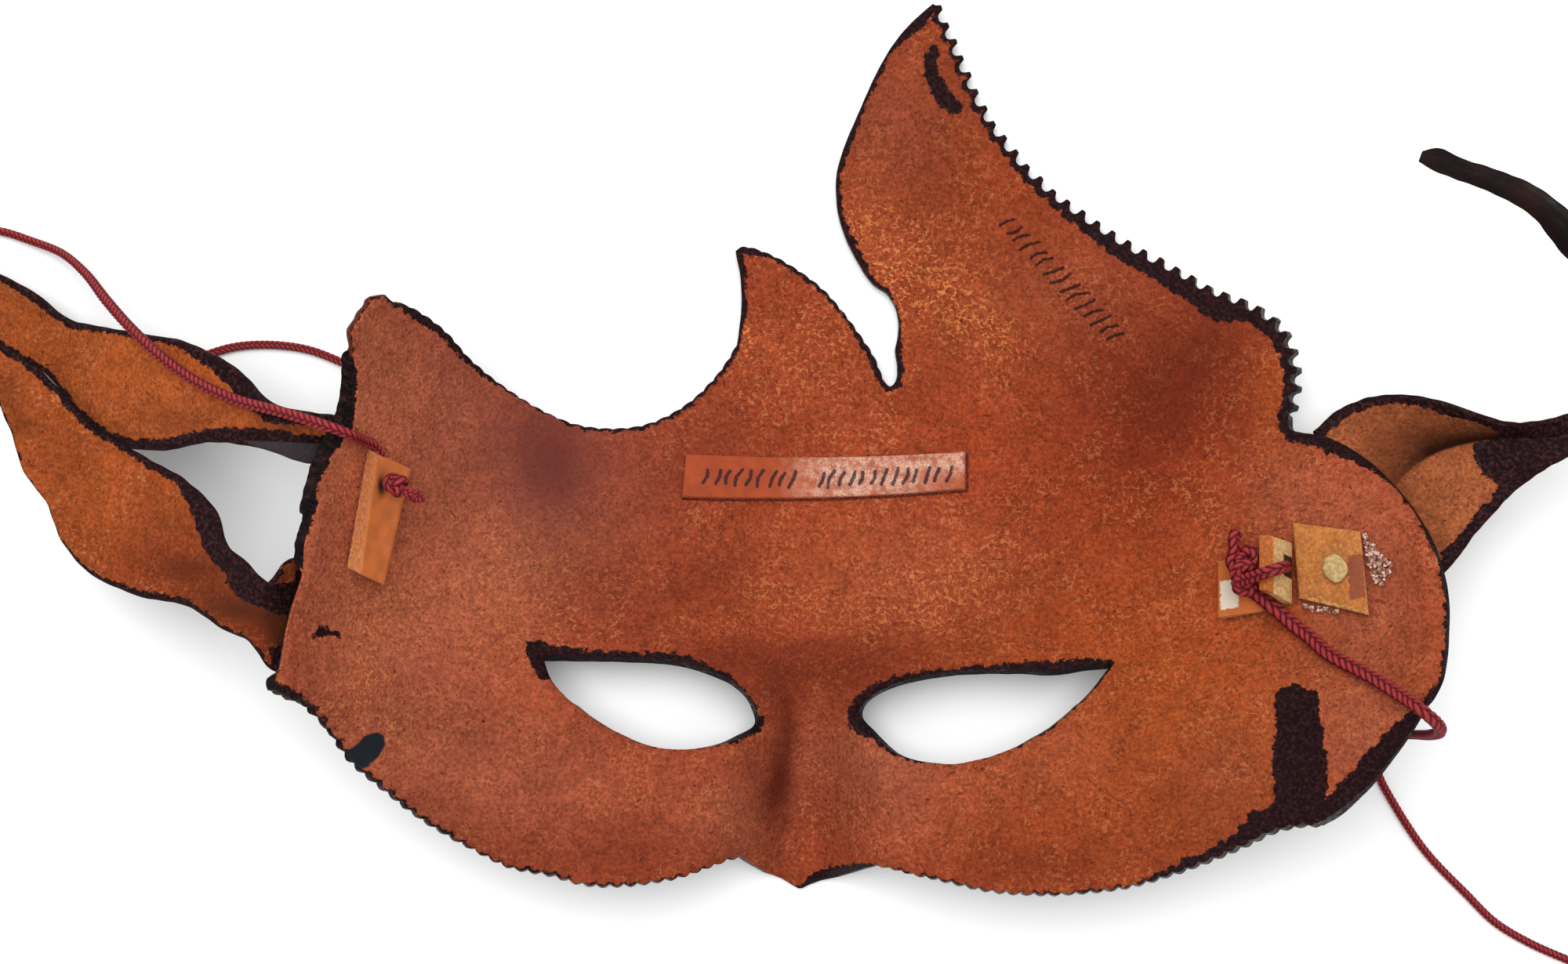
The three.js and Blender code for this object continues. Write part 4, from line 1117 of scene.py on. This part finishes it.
def make_mask():
    cuts = [cut_edge(part, seed) for seed, part in enumerate(RIM)]
    cuts += [cut_edge(eye, 20 + k) for k, eye in enumerate(EYES)]
    outline = np.vstack([at for at, _ in cuts[:len(RIM)]])
    holes = [at for at, _ in cuts[len(RIM):]]
    edge = np.vstack([outline, *holes])
    widths = np.concatenate([width for _, width in cuts])
    near = kdtree.KDTree(len(edge))
    for index, (u, v) in enumerate(edge):
        near.insert((u, v, 0), index)
    near.balance()
    strokes = pen_strokes(MASK_PEN)
    points, triangles = mask_plan(edge, outline, holes, near, strokes)

    u, v = points.T
    found = [near.find((at_u, at_v, 0)) for at_u, at_v in points]
    nearest = np.array([index for _, index, _ in found])
    distance = np.array([gap for _, _, gap in found])
    normal = face_normal(u, v)
    thinner, below, rounded, ragged = rim_form(u, v, nearest >= len(outline))
    skived = thinner * np.maximum(0, 1 - distance / BEVEL) ** 2
    upper = over_face(u, v, np.where(distance == 0, -0.2, 0.06 * wave(u, v, 6, 1)))
    upper = upper - MM * (skived * (1 - below))[:, None] * normal
    lower = over_face(u, v, 0) - MM * (SHEET - skived * below)[:, None] * normal
    upper[:, 2] = np.maximum(upper[:, 2], 1.2 * MM)
    lower[:, 2] = np.maximum(lower[:, 2], 0)
    mesh, owner, _ = closed_sheet("mask_leather", upper, lower, triangles, rounded, ragged)

    dye = widths[nearest] - distance
    # dark marks of dye, and painted shade at the slit
    for mark in MARKS_AND_SLIT_SHADE:
        dye = np.maximum(dye, depth_inside(u, v, np.array(mark)) + 0.1)
    paint(mesh, "dye", dye[owner])
    paint(mesh, "teal", depth_inside(u, v, np.array(TEAL_MARK))[owner])
    paint(mesh, "ink", pen_depth(u, v, strokes)[owner])
    paint(mesh, "raw", below[owner])
    for name, spots in TONES.items():
        paint(mesh, name, tone_at(u, v, spots)[owner])
    materials = [mask_suede, outer_leather, cut_edge_look]
    make_object("mask_leather", mesh, ["mask_shell"], materials)


# Leaves: stations from root to tip, each the left edge, the vein and the right edge, as (u, v, z), with
# the width of the dye beside the two edges

UPPER_LEFT_LEAF = [
    ((-91.5, 3.6, 32.9), (-89.5, 8.2, 32.9), (-88.3, 13.2, 32.4), 6.0, 2.0),
    ((-98, 4, 35.9), (-97, 9.3, 36.9), (-96.2, 14.2, 36.4), 5.6, 2.4),
    ((-107.2, 6.9, 36.9), (-106, 11.5, 37.9), (-104.6, 16.2, 37.4), 3.8, 3.6),
    ((-117.1, 8.3, 32.4), (-114.6, 15.8, 33.9), (-112.3, 23.2, 34.4), 2.8, 3.6),
    ((-127.4, 6.6, 25.4), (-125.2, 17.5, 27.4), (-122.9, 28.5, 28.9), 2.2, 1.4),
    ((-137.6, 8.2, 16.9), (-134.8, 19.2, 20.4), (-132, 30.2, 22.4), 2.0, 0.9),
    ((-144.8, 14.4, 12.5), (-142.4, 23, 14.5), (-140, 31.5, 17), 1.6, 1.0),
    ((-150.1, 21.6, 9), (-148.4, 27.3, 10), (-146.6, 33, 13), 1.2, 1.2),
    ((-156, 25.3, 7.1), (-154.6, 31.8, 7.5), (-153.3, 38.2, 9.5), 1.2, 1.4),
    ((-161.6, 28.8, 6.4), (-160.8, 35.4, 6.4), (-160, 41.9, 7.8), 1.4, 1.2),
    ((-171.2, 39.8, 6.3), (-170.4, 43.4, 6.3), (-169.6, 47, 7.1), 1.4, 1.2),
    ((-179, 52.2, 8.6), (-178.7, 52.7, 8.6), (-178.4, 53.2, 8.6), 1.5, 1.5),
]
LOWER_LEFT_LEAF = [
    ((-98.5, -39.6, 37.7), (-96.6, -29.4, 35.4), (-96.4, -15.2, 37.2), 0.6, 0.2),
    ((-104.7, -37.8, 43), (-102.6, -28.6, 42.4), (-100.8, -16.4, 42.8), 0.6, 0.2),
    ((-109.1, -32.6, 44.2), (-107.4, -26, 44.7), (-105, -21.2, 46.2), 0.5, 1.0),
    ((-114.8, -29.6, 42.5), (-112.5, -22.8, 42), (-110.6, -16.6, 44.5), 0.5, 3.6),
    ((-121.8, -25, 38.2), (-118, -18.6, 37.7), (-114.6, -12.8, 40.7), 0.9, 4.8),
    ((-132.8, -22.7, 32), (-124.4, -14, 34), (-116.4, -6.2, 37), 1.2, 5.2),
    ((-142.4, -18, 26.7), (-132.2, -9.3, 29.7), (-122.6, 0.2, 32.7), 0.7, 1.4),
    ((-147.6, -11.8, 24), (-138.4, -4.2, 26), (-129.8, 4.3, 28.5), 0.2, 1.3),
    ((-150.6, -4.2, 22.2), (-142.7, 0.9, 23.7), (-135.2, 7.5, 25.7), 0, 0.9),
    ((-155.2, 2.2, 21), (-147.9, 5.7, 22), (-140.8, 10.6, 23.5), 0.1, 0.8),
    ((-157.3, 8.8, 19.2), (-153.6, 14.6, 19.2), (-149.9, 20.3, 20.2), 0.3, 0.9),
    ((-159.2, 13.6, 18), (-157, 19.1, 18), (-154.9, 24.6, 18.5), 0.4, 0.9),
    ((-161.9, 19.2, 17.2), (-161, 23.6, 17.2), (-160, 28, 17.4), 0.8, 1.2),
    ((-169.9, 34, 16), (-169.6, 34.4, 16), (-169.3, 34.8, 16), 1.0, 1.0),
]
RIGHT_LEAF = [
    ((108, 10.2, 16.2), (118, -5, 22.6), (125.6, -18.4, 29.6), 2.4, 0.8),
    ((113.8, 14.9, 17.7), (123.4, -1.6, 21.8), (132.4, -19.4, 31.2), 2.0, 0.8),
    ((120.6, 17.1, 20.6), (128, 3, 21.1), (137, -15.4, 31.1), 1.7, 0.9),
    ((127.4, 17.2, 23.9), (132, 5.6, 20.9), (140.2, -11, 29.9), 1.6, 1.4),
    ((134.1, 15.8, 26.8), (136.8, 7.4, 21.8), (143.6, -7.2, 28.8), 2.4, 1.8),
    ((141.4, 13.2, 28.1), (143, 8.6, 23.1), (149, -1.6, 27.6), 2.0, 2.0),
    ((148.8, 11.2, 27.9), (150.8, 8.9, 24.4), (154.6, 2.4, 26.3), 2.4, 3.0),
    ((160, 13.2, 27.7), (160, 9.6, 25.7), (160, 5.4, 26.3), 3.0, 4.0),
    ((170, 18, 31.1), (171.6, 14, 29.9), (173, 10.4, 31.1), 3.0, 6.0),
    ((173.4, 27.4, 39.9), (176, 23.8, 39.7), (178.4, 20.2, 40.7), 3.0, 3.0),
    ((170, 38.6, 48.1), (172, 34.4, 48.3), (173.8, 30.2, 48.7), 3.0, 3.0),
    ((165.2, 47.8, 49.9), (166.4, 43.2, 50.7), (167.4, 38.8, 50.5), 3.0, 3.0),
    ((160, 54.4, 49.8), (160, 50.2, 50.8), (160, 46.2, 50.2), 3.0, 3.0),
    ((152.6, 59.8, 49), (152.9, 57.2, 50), (153.2, 54.6, 49.6), 3.0, 3.0),
    ((145.4, 62.9, 48.4), (145, 61.1, 49), (144.6, 59.4, 48.8), 3.0, 3.0),
    ((138.2, 65.2, 47.7), (137.7, 63.8, 48.2), (137, 62.2, 48), 3.0, 3.0),
    ((133.2, 67.5, 47.3), (132.4, 66, 47.6), (131.6, 64.3, 47.4), 3.0, 3.0),
    ((130.4, 67, 47.2), (130, 66.3, 47.3), (129.8, 65.7, 47.2), 3.0, 3.0),
]


# Beside the stations: mesh rows from one to the next and columns, dark marks, where the smooth outer side
# shows, and soft spots of red and of painted shade. The right leaf has a fold along its vein, with how sharp
# it is at each station; painted shade darkens the crease along it.
UPPER_LEFT = {
    "grid": (18, 56),
    "grain": [(-110.6, 8.6), (-104, 8.4), (-96.4, 8), (-90, 8), (-90, 0), (-96.4, 2.6), (-104, 5)],
    "shade": [
        (-101, 11.6, 9, 3.6, 0.6), (-127, 13, 7, 4, 0.4), (-118, 13, 6, 4, 0.25), (-158, 36, 9, 7, 0.25),
    ],
}
LOWER_LEFT = {
    "grid": (16, 56),
    "marks": [
        [
            (-114, -17.6), (-112, -15), (-109.9, -16.4), (-107.5, -18.8), (-104.8, -20.4), (-102.7, -20.9),
            (-100.6, -20.6), (-97.4, -14.6), (-96, -14.6), (-98.9, -24), (-100.5, -27.4), (-103.2, -26.9),
            (-106.4, -25.6), (-110.1, -24.5), (-112.3, -22.7), (-113.8, -20.4),
        ],
        [(-104.9, -33.9), (-101.8, -33.6), (-101.6, -38.8), (-104.5, -39.4)],
    ],
    "red": [(-118, -20, 13, 8, 0.6), (-104, -32, 9, 9, 0.8), (-131, -16, 8, 6, 0.35)],
    "shade": [
        (-110, -26.6, 9, 3, 0.5), (-101, -28, 5, 6, 0.5), (-105, -30, 8, 4, 0.15),
        (-121, -17.6, 9, 3.4, 0.6), (-126, -9, 7, 6, 0.35), (-158.4, 18, 3, 5, 0.6),
        (-155, 11.5, 3.6, 2.2, 0.45), (-148, 2, 5, 5, 0.15), (-99, -17, 3, 3, 0.35),
        (-102, -31, 2.4, 9, 0.6), (-106, -32, 6, 5, 0.3), (-116, -23.8, 11, 4.8, 0.6),
        (-132, -14, 12, 6, 0.15),
    ],
}
RIGHT = {
    "grid": (16, 72),
    "marks": [
        [
            (141.4, 14.6), (142.7, 12.3), (145, 10.6), (147.5, 9.6), (145, 9), (141.5, 8), (140.8, 7.5),
            (141.3, 4.7), (142.7, 1.9), (144.5, 0.5), (145.9, -1), (144.9, -3.1), (142.1, -5.6),
            (139.8, -8.5), (137.8, -11.3), (135.7, -13.1), (134.2, -14.6), (134, -24), (185, -24), (185, 80),
            (120, 80), (120, 30), (141, 30),
        ],
    ],
    "shade": [
        (122.5, 4.6, 4.5, 4.5, 0.5), (134, -15, 5, 5, 0.3), (124, -4, 2.4, 6, 0.5), (127, -7.5, 2, 6, 0.4),
        (130, 9, 8, 3, 0.45), (126, 13, 14, 5, 0.27),
    ],
    "folds": [0.2, 0.5, 0.8, 1, 1, 1, 1, 0.8, 0.3, 0, 0, 0, 0, 0, 0, 0, 0, 0],
}


def make_leaf(name, stations, details, suede):
    per_station, columns = details["grid"]
    left, vein, right = (curve_through([station[k] for station in stations], per_station) for k in range(3))
    for line in (left, right):
        line[:, 0] += 0.16 * wave(line[:, 0], line[:, 1], 4, 1)
        line[:, 1] += 0.16 * wave(line[:, 0], line[:, 1], 4, 4)
    rows, count = len(left), len(stations)
    folds = details.get("folds", [0] * count)
    left_dye, right_dye, fold = (
        np.interp(np.linspace(0, count - 1, rows), np.arange(count), values)[:, None]
        for values in ([station[3] for station in stations], [station[4] for station in stations], folds)
    )
    s = np.linspace(0, 1, columns + 1)[None, :, None]
    left, vein, right = left[:, None], vein[:, None], right[:, None]
    bowed = (1 - s) * (1 - 2 * s) * left + 4 * s * (1 - s) * vein + s * (2 * s - 1) * right
    folded = np.where(s < 0.5, left + (vein - left) * 2 * s, vein + (right - vein) * (2 * s - 1))
    plan = bowed + fold[..., None] * (folded - bowed)
    u, v = plan[..., 0], plan[..., 1]
    upper = seen_at(u, v, plan[..., 2])
    across = np.linalg.norm(np.diff(upper, axis=1), axis=-1) / MM
    from_left = np.concatenate([np.zeros((rows, 1)), np.cumsum(across, axis=1)], axis=1)
    from_right = from_left[:, -1:] - from_left
    from_vein = from_left - from_left[:, columns // 2, None]
    normals = grid_normals(upper)
    thickness = LEAF_SHEET - (LEAF_SHEET - LEAF_EDGE) * (1 - smooth(np.minimum(from_left, from_right) / 4))
    lower = upper - MM * thickness[..., None] * normals
    upper = upper + MM * np.where(grid_rim(upper), -0.25, 0.12 * wave(u, v, 5, 2))[..., None] * normals
    mesh, owner, _ = grid_sheet(name, upper, lower, rounded=np.ones(u.size))
    u, v = u.ravel(), v.ravel()
    dye = np.maximum(left_dye - from_left, right_dye - from_right).ravel()
    for mark in details.get("marks", []):
        dye = np.maximum(dye, depth_inside(u, v, np.array(mark)) + 0.2)
    paint(mesh, "dye", dye[owner])
    grain = smooth(depth_inside(u, v, np.array(details["grain"])) / 0.3) if "grain" in details else 0 * u
    paint(mesh, "grain", grain[owner])
    for tone in ("shade", "red"):
        paint(mesh, tone, tone_at(u, v, details.get(tone, []))[owner])
    # painted shade along the fold's crease: wide on the vein's left side, narrow on its right
    fold_shade = np.where(from_vein < 0, np.exp(-((from_vein / 4.4) ** 2)), np.exp(-from_vein / 0.3))
    paint(mesh, "deep", (0.97 * (fold * fold_shade).ravel() * smooth((u - 115) / 13))[owner])
    make_object(name + "_leather", mesh, [name], [suede, outer_leather, cut_edge_look])


def make_leaves():
    make_leaf("upper_left_leaf", UPPER_LEFT_LEAF, UPPER_LEFT, upper_leaf_suede)
    make_leaf("lower_left_leaf", LOWER_LEFT_LEAF, LOWER_LEFT, left_leaf_suede)
    make_leaf("right_leaf", RIGHT_LEAF, RIGHT, right_leaf_suede)


# Label, tabs, patch, peg, knots and crumbs

# The corners of the upper side and of the foot where that is wider, how far the middle sags in plan, and
# mesh rows and columns
LABEL = {
    "corners": [(-20.8, -3), (36.8, -1.3), (36.8, 6.2), (-20, 5.7)],
    "foot": [(-20.9, -3.6), (37.6, -2), (37.6, 6), (-20.1, 5.6)],
    "thickness": 1.2, "sag": 0.9, "grid": (44, 280),
}
LEFT_TAB = {
    "corners": [(-86.6, -18.8), (-81.6, -21), (-76.2, 2.6), (-83.4, 5.6)],
    "foot": [(-89.2, -17.5), (-82, -21), (-76.4, 2.8), (-84.9, 7)],
    "thickness": 3.6, "grid": (60, 20),
}
RIGHT_PATCH = {
    "corners": [(105.1, -23.7), (119.4, -27.2), (117.6, -10.1), (103.8, -8.3)],
    "thickness": 1.6, "grid": (60, 60),
}
# Stations of the strap from its glued end up to its tip: u, v at both sides and lift over the inner face
RIGHT_TAB = [
    (88.6, -16.2, -27.6, 2.4),
    (93, -15.2, -27, 2.4),
    (97, -14.2, -26.4, 2.4),
    (99.8, -13.4, -25.6, 2.4),
    (101.2, -12.9, -25, 2.9),
    (101.5, -12.6, -24.8, 3.8),
    (101, -12.3, -24.4, 5),
    (99.2, -11.6, -23.2, 7.4),
    (97, -10.9, -22, 9.8),
]
STRAP_GRID = (8, 37)  # mesh rows from one station to the next, and columns
RIGHT_PEG = {
    "at": (112.5, -17.8), "tall": 0.8,
    "outline": [
        (-2.1, 2.3), (-0.5, 3.1), (1.1, 2.6), (2.5, 0.4), (2.4, -0.9), (0.5, -2.8), (-1.1, -2.2),
        (-2.6, -0.3),
    ],
    # rings above the foot, up the side and in to the middle: shares of the outline and of the height
    "profile": [(1.0, 0.55), (0.97, 0.9), (0.8, 1), (0.5, 1.02), (0.2, 0.96)],
}
# The left knot's middle, and measured from there its two wound balls, with their size, tilt and cord
# radius, and its strands: the one to the tail, the tail and the one from the hole
LEFT_KNOT = {
    "at": (-79.2, -0.5), "lift": 6.4,
    "balls": [((0, 0, 0), 1.5, 0.4, 1.05), ((3, -2, -0.5), 0.9, 0.9, 0.68)],
    "strands": [
        [(0.8, -0.6, 0.4), (2, -1.4, 0), (2.8, -2, -0.4)],
        [(3.2, -2.2, -0.4), (4.2, -2.4, -0.8), (4.9, -2.9, -1)],
        [(-0.4, -0.2, -0.6), (-1.6, -0.4, -1.4), (-2.3, -0.4, -2.4)],
    ],
}
# The right knot: a strand that comes out of the tab's hole and winds round itself, the tie's short end,
# and the winding between them. Plan points and lifts over the inner face.
RIGHT_KNOT = [
    [
        (102.3, -17.3, 7), (101, -17.6, 10.9), (99.5, -18.1, 11.9), (96.6, -19.1, 10.8), (94.2, -19.8, 9),
        (92.6, -20.6, 7.8), (93, -22, 6.8), (95, -22, 6.4), (95.8, -20.8, 6.6),
    ],
    [
        (92.4, -10.2, 6.4), (91.8, -11.6, 6.8), (92, -13.9, 7), (91.3, -16.2, 6.8), (92.2, -17.8, 6.4),
        (94.4, -17.6, 6.8), (96.3, -16.6, 7.4), (96.4, -14.8, 7.6), (94.9, -14, 7.2), (93.6, -15.4, 6.6),
        (92.6, -16.8, 7.4),
    ],
    [
        (95.4, -16.9, 8.4), (93.4, -17.3, 9), (92.3, -19, 8.6), (93, -20.6, 7.8), (95, -20.6, 7.2),
        (95.8, -18.8, 7),
    ],
]
# Crumbs of dried glue around the patch: plan outlines, and how many lie in each
CRUMBS = [
    (190, [
        (117.9, -10.2), (119, -10.6), (121.5, -14.4), (124.3, -17), (123.6, -19.4), (121.4, -21.4),
        (119.6, -19),
    ]),
    (34, [(105.9, -24.6), (113.8, -26.2), (113, -27), (105.4, -26)]),
]
CRUMB = 0.4  # about half the width of one
STAIN_STRIPE = [(115, -15), (118.2, -14.6), (118.6, -23.6), (115.4, -24.2)]  # down the patch
NOWHERE = -9.0  # the value of an attribute that marks nothing


def flat_piece(name, shape, replaced, material):
    """A glued strap piece. Returns its mesh, and u, v, row share, column share and depth at each point."""
    s, t = np.meshgrid(*(np.linspace(0, 1, count + 1) for count in shape["grid"]), indexing="ij")
    sides = []
    for corners in (shape["corners"], shape.get("foot", shape["corners"])):
        a, b, c, d = np.array(corners)[:, :, None, None]
        u, v = (1 - s) * ((1 - t) * a + t * b) + s * ((1 - t) * d + t * c)
        sides.append((u, v - shape.get("sag", 0) * 4 * t * (1 - t)))
    foot = over_face(*sides[1], TOUCH_GAP)
    u, v = sides[0]
    lift = TOUCH_GAP + shape["thickness"] + 0.05 * wave(u, v, 3, 4)
    upper = over_face(u, v, np.where(grid_rim(u), lift - 0.2, lift))
    mesh, owner, depth = grid_sheet(name, upper, foot)
    make_object(name, mesh, [replaced], [material] * 3)
    return mesh, *(values.ravel()[owner] for values in (u, v, s, t)), depth


def make_label():
    mesh, u, v, _, _, depth = flat_piece("label", LABEL, "label_strip", label_leather)
    ink = pen_depth(u, v, pen_strokes(LABEL_PEN))
    # the cut edges take part of the ink's dark colour, painted shade along the label's edges
    paint(mesh, "ink", np.where(depth == 0, ink + 0.06, 0.03))
    # glaze with painted sheen, from the middle to the right end, less at the lower right corner
    glaze_and_sheen = 1.1 * smooth((u + 3) / 14) * (1 - 0.75 * smooth((u - 24) / 8) * smooth((3.4 - v) / 3))
    paint(mesh, "glaze_and_sheen", glaze_and_sheen * (depth == 0))


def make_left_tab():
    mesh, u, v, _, t, depth = flat_piece(
        "left_tab_slab", LEFT_TAB, "left_tab", left_tab_leather
    )
    paint(mesh, "flesh", np.where(depth > 0, 0.62, 0) + 0.7 * smooth((0.05 - t) / 0.04) * (depth < 1))
    paint(mesh, "white", NOWHERE)
    paint(mesh, "stain", NOWHERE)
    # painted shade of the hole beside the knot
    paint(mesh, "soot", np.exp(-((u + 82.2) / 0.9) ** 2 - ((v + 0.8) / 2.4) ** 2))


def make_right_patch():
    mesh, u, v, s, _, depth = flat_piece(
        "right_patch_suede", RIGHT_PATCH, "right_patch", patch_suede
    )
    paint(mesh, "flesh", np.where(depth > 0, 1.0, 0) + 0.5 * smooth((0.08 - s) / 0.05))
    paint(mesh, "white", NOWHERE)
    paint(mesh, "stain", np.where(depth == 0, depth_inside(u, v, np.array(STAIN_STRIPE)), NOWHERE))


def make_right_tab():
    per_station, columns = STRAP_GRID
    rails = []
    for share in (0, 1 / 3, 2 / 3, 1):
        rails.append([over_face(u, high + (low - high) * share, lift) for u, high, low, lift in RIGHT_TAB])
    rows = np.stack([curve_through(rail, per_station) for rail in np.array(rails)], axis=1)
    share = np.linspace(0, 3, columns)
    low = np.minimum(share.astype(int), 2)
    part = (share - low)[None, :, None]
    upper = rows[:, low] * (1 - part) + rows[:, low + 1] * part
    lower = upper - STRAP_SHEET * MM * grid_normals(upper)
    mesh, owner, depth = grid_sheet("right_tab_strap", upper, lower)
    along = np.repeat(np.linspace(0, len(RIGHT_TAB) - 1, len(rows)), columns)[owner]
    across = np.tile(np.linspace(0, 1, columns), len(rows))[owner]
    # its cut edges and its back are flesh, less so at the tan tip
    tan = smooth((along - 7.2) / 0.3)
    paint(mesh, "flesh", np.where(depth > 0, 1.0 - 0.75 * tan, 0))
    # a spot of white paint on the glued end, and painted shade for the hole in the back
    white = np.minimum(3.7 - 8.8 * np.abs(along - 0.53), 5.8 - 23 * np.abs(across - 0.62)) / 2
    paint(mesh, "white", np.where(depth == 0, white, NOWHERE))
    paint(mesh, "stain", NOWHERE)
    hole = smooth((0.9 - np.abs(along - 5.7)) / 0.2) * smooth((0.2 - np.abs(across - 0.42)) / 0.03)
    paint(mesh, "soot", np.where(depth == 1, hole, 0))
    make_object("right_tab_strap", mesh, ["right_tab"], [right_tab_leather] * 3)


def make_peg():
    at, tall = RIGHT_PEG["at"], RIGHT_PEG["tall"]
    foot = TOUCH_GAP + RIGHT_PATCH["thickness"] + TOUCH_GAP
    outline = curve_through(RIGHT_PEG["outline"] + RIGHT_PEG["outline"][:1], 6)[:-1]
    around = len(outline)
    vertices = []
    for share, part in [(1, 0), *RIGHT_PEG["profile"]]:
        lift = foot + tall * part
        vertices += [over_face(at[0] + share * u, at[1] + share * v, lift) for u, v in outline]
    last = len(vertices) - around
    top, bottom = len(vertices), len(vertices) + 1
    vertices += [over_face(*at, foot + tall), over_face(*at, foot)]
    faces = []
    for i in range(around):
        j = (i + 1) % around
        for ring in range(0, last, around):
            a, b = ring + i, ring + j
            faces += [(a, b + around, b), (a, a + around, b + around)]
        faces += [(last + i, top, last + j), (j, bottom, i)]
    mesh = new_mesh("right_peg_plug", np.array(vertices), faces)
    make_object("right_peg_plug", mesh, ["right_peg"], [peg_look])


def make_knots():
    centre = over_face(*LEFT_KNOT["at"], LEFT_KNOT["lift"]) / MM
    tubes = [(knot_line(centre + at, size, tilt), cord) for at, size, tilt, cord in LEFT_KNOT["balls"]]
    tubes += [(curve_through(centre + np.array(strand)), CORD_RADIUS) for strand in LEFT_KNOT["strands"]]
    braided_piece("left_tab_knot", tubes, ["left_knot"])
    strands = [curve_through([over_face(*point) / MM for point in strand]) for strand in RIGHT_KNOT]
    braided_piece("right_tab_knot", [(strand, SLACK_RADIUS) for strand in strands], ["right_knot"])


def make_crumbs():
    """Small crystals of dried glue that lie on the inner face."""
    rng = np.random.default_rng(7)
    corners = np.array([(1, 0, 0), (0, 1, 0), (-1, 0, 0), (0, -1, 0), (0, 0, 1), (0, 0, -1)], float)
    sides = np.array([(k, (k + 1) % 4, 4) for k in range(4)] + [((k + 1) % 4, k, 5) for k in range(4)])
    vertices, faces = [], []
    for count, outline in CRUMBS:
        outline = np.array(outline)
        while count:
            u, v = rng.uniform(outline.min(axis=0), outline.max(axis=0))
            if not inside(np.array([u]), np.array([v]), outline)[0]:
                continue
            size = CRUMB * rng.uniform(0.5, 1.2)
            shape = corners * size * rng.uniform(0.6, 1.3, (6, 3))
            turn, _ = np.linalg.qr(rng.normal(size=(3, 3)))
            turn = turn * np.sign(np.linalg.det(turn))
            faces.append(sides + 6 * len(vertices))
            vertices.append(over_face(u, v, size + TOUCH_GAP / 2) + MM * shape @ turn.T)
            count -= 1
    mesh = new_mesh("glue_crumbs", np.vstack(vertices), np.vstack(faces))
    mesh.polygons.foreach_set("use_smooth", np.zeros(len(mesh.polygons), bool))
    make_object("glue_crumbs", mesh, [], [glue_look])


# Floor and light

FLOOR_REACH = 3.0
FLOOR_TONE = (0.88, 0.88, 0.88)
DAYLIGHT = 0.72
SOFTBOX = {"at": (-0.1, 0.35, 1.25), "size": 1.1, "energy": 17}  # in metres and watts


def make_floor():
    corners = [(x * FLOOR_REACH, y * FLOOR_REACH, 0) for x, y in ((-1, -1), (1, -1), (1, 1), (-1, 1))]
    look = Look("floor", {"Roughness": 0.9, "Base Color": FLOOR_TONE})
    mesh = new_mesh("floor", corners, [(0, 1, 2, 3)])
    mesh.materials.append(look.material)
    new_object("floor", mesh)


def make_light():
    world = bpy.data.worlds.new("studio")
    bpy.context.scene.world = world
    world.use_nodes = True
    background = world.node_tree.nodes["Background"]
    background.inputs["Color"].default_value = (1, 1, 1, 1)
    background.inputs["Strength"].default_value = DAYLIGHT
    data = bpy.data.lights.new("softbox", "AREA")
    data.shape = "DISK"
    data.size = SOFTBOX["size"]
    data.energy = SOFTBOX["energy"]
    light = new_object("softbox", data)
    light.location = SOFTBOX["at"]
    light.rotation_euler = (-light.location).to_track_quat("-Z", "Y").to_euler()
    bpy.context.scene.view_settings.view_transform = "Standard"


make_ties()
make_knots()
make_mask()
make_leaves()
make_label()
make_left_tab()
make_right_patch()
make_right_tab()
make_peg()
make_crumbs()
make_floor()
make_light()
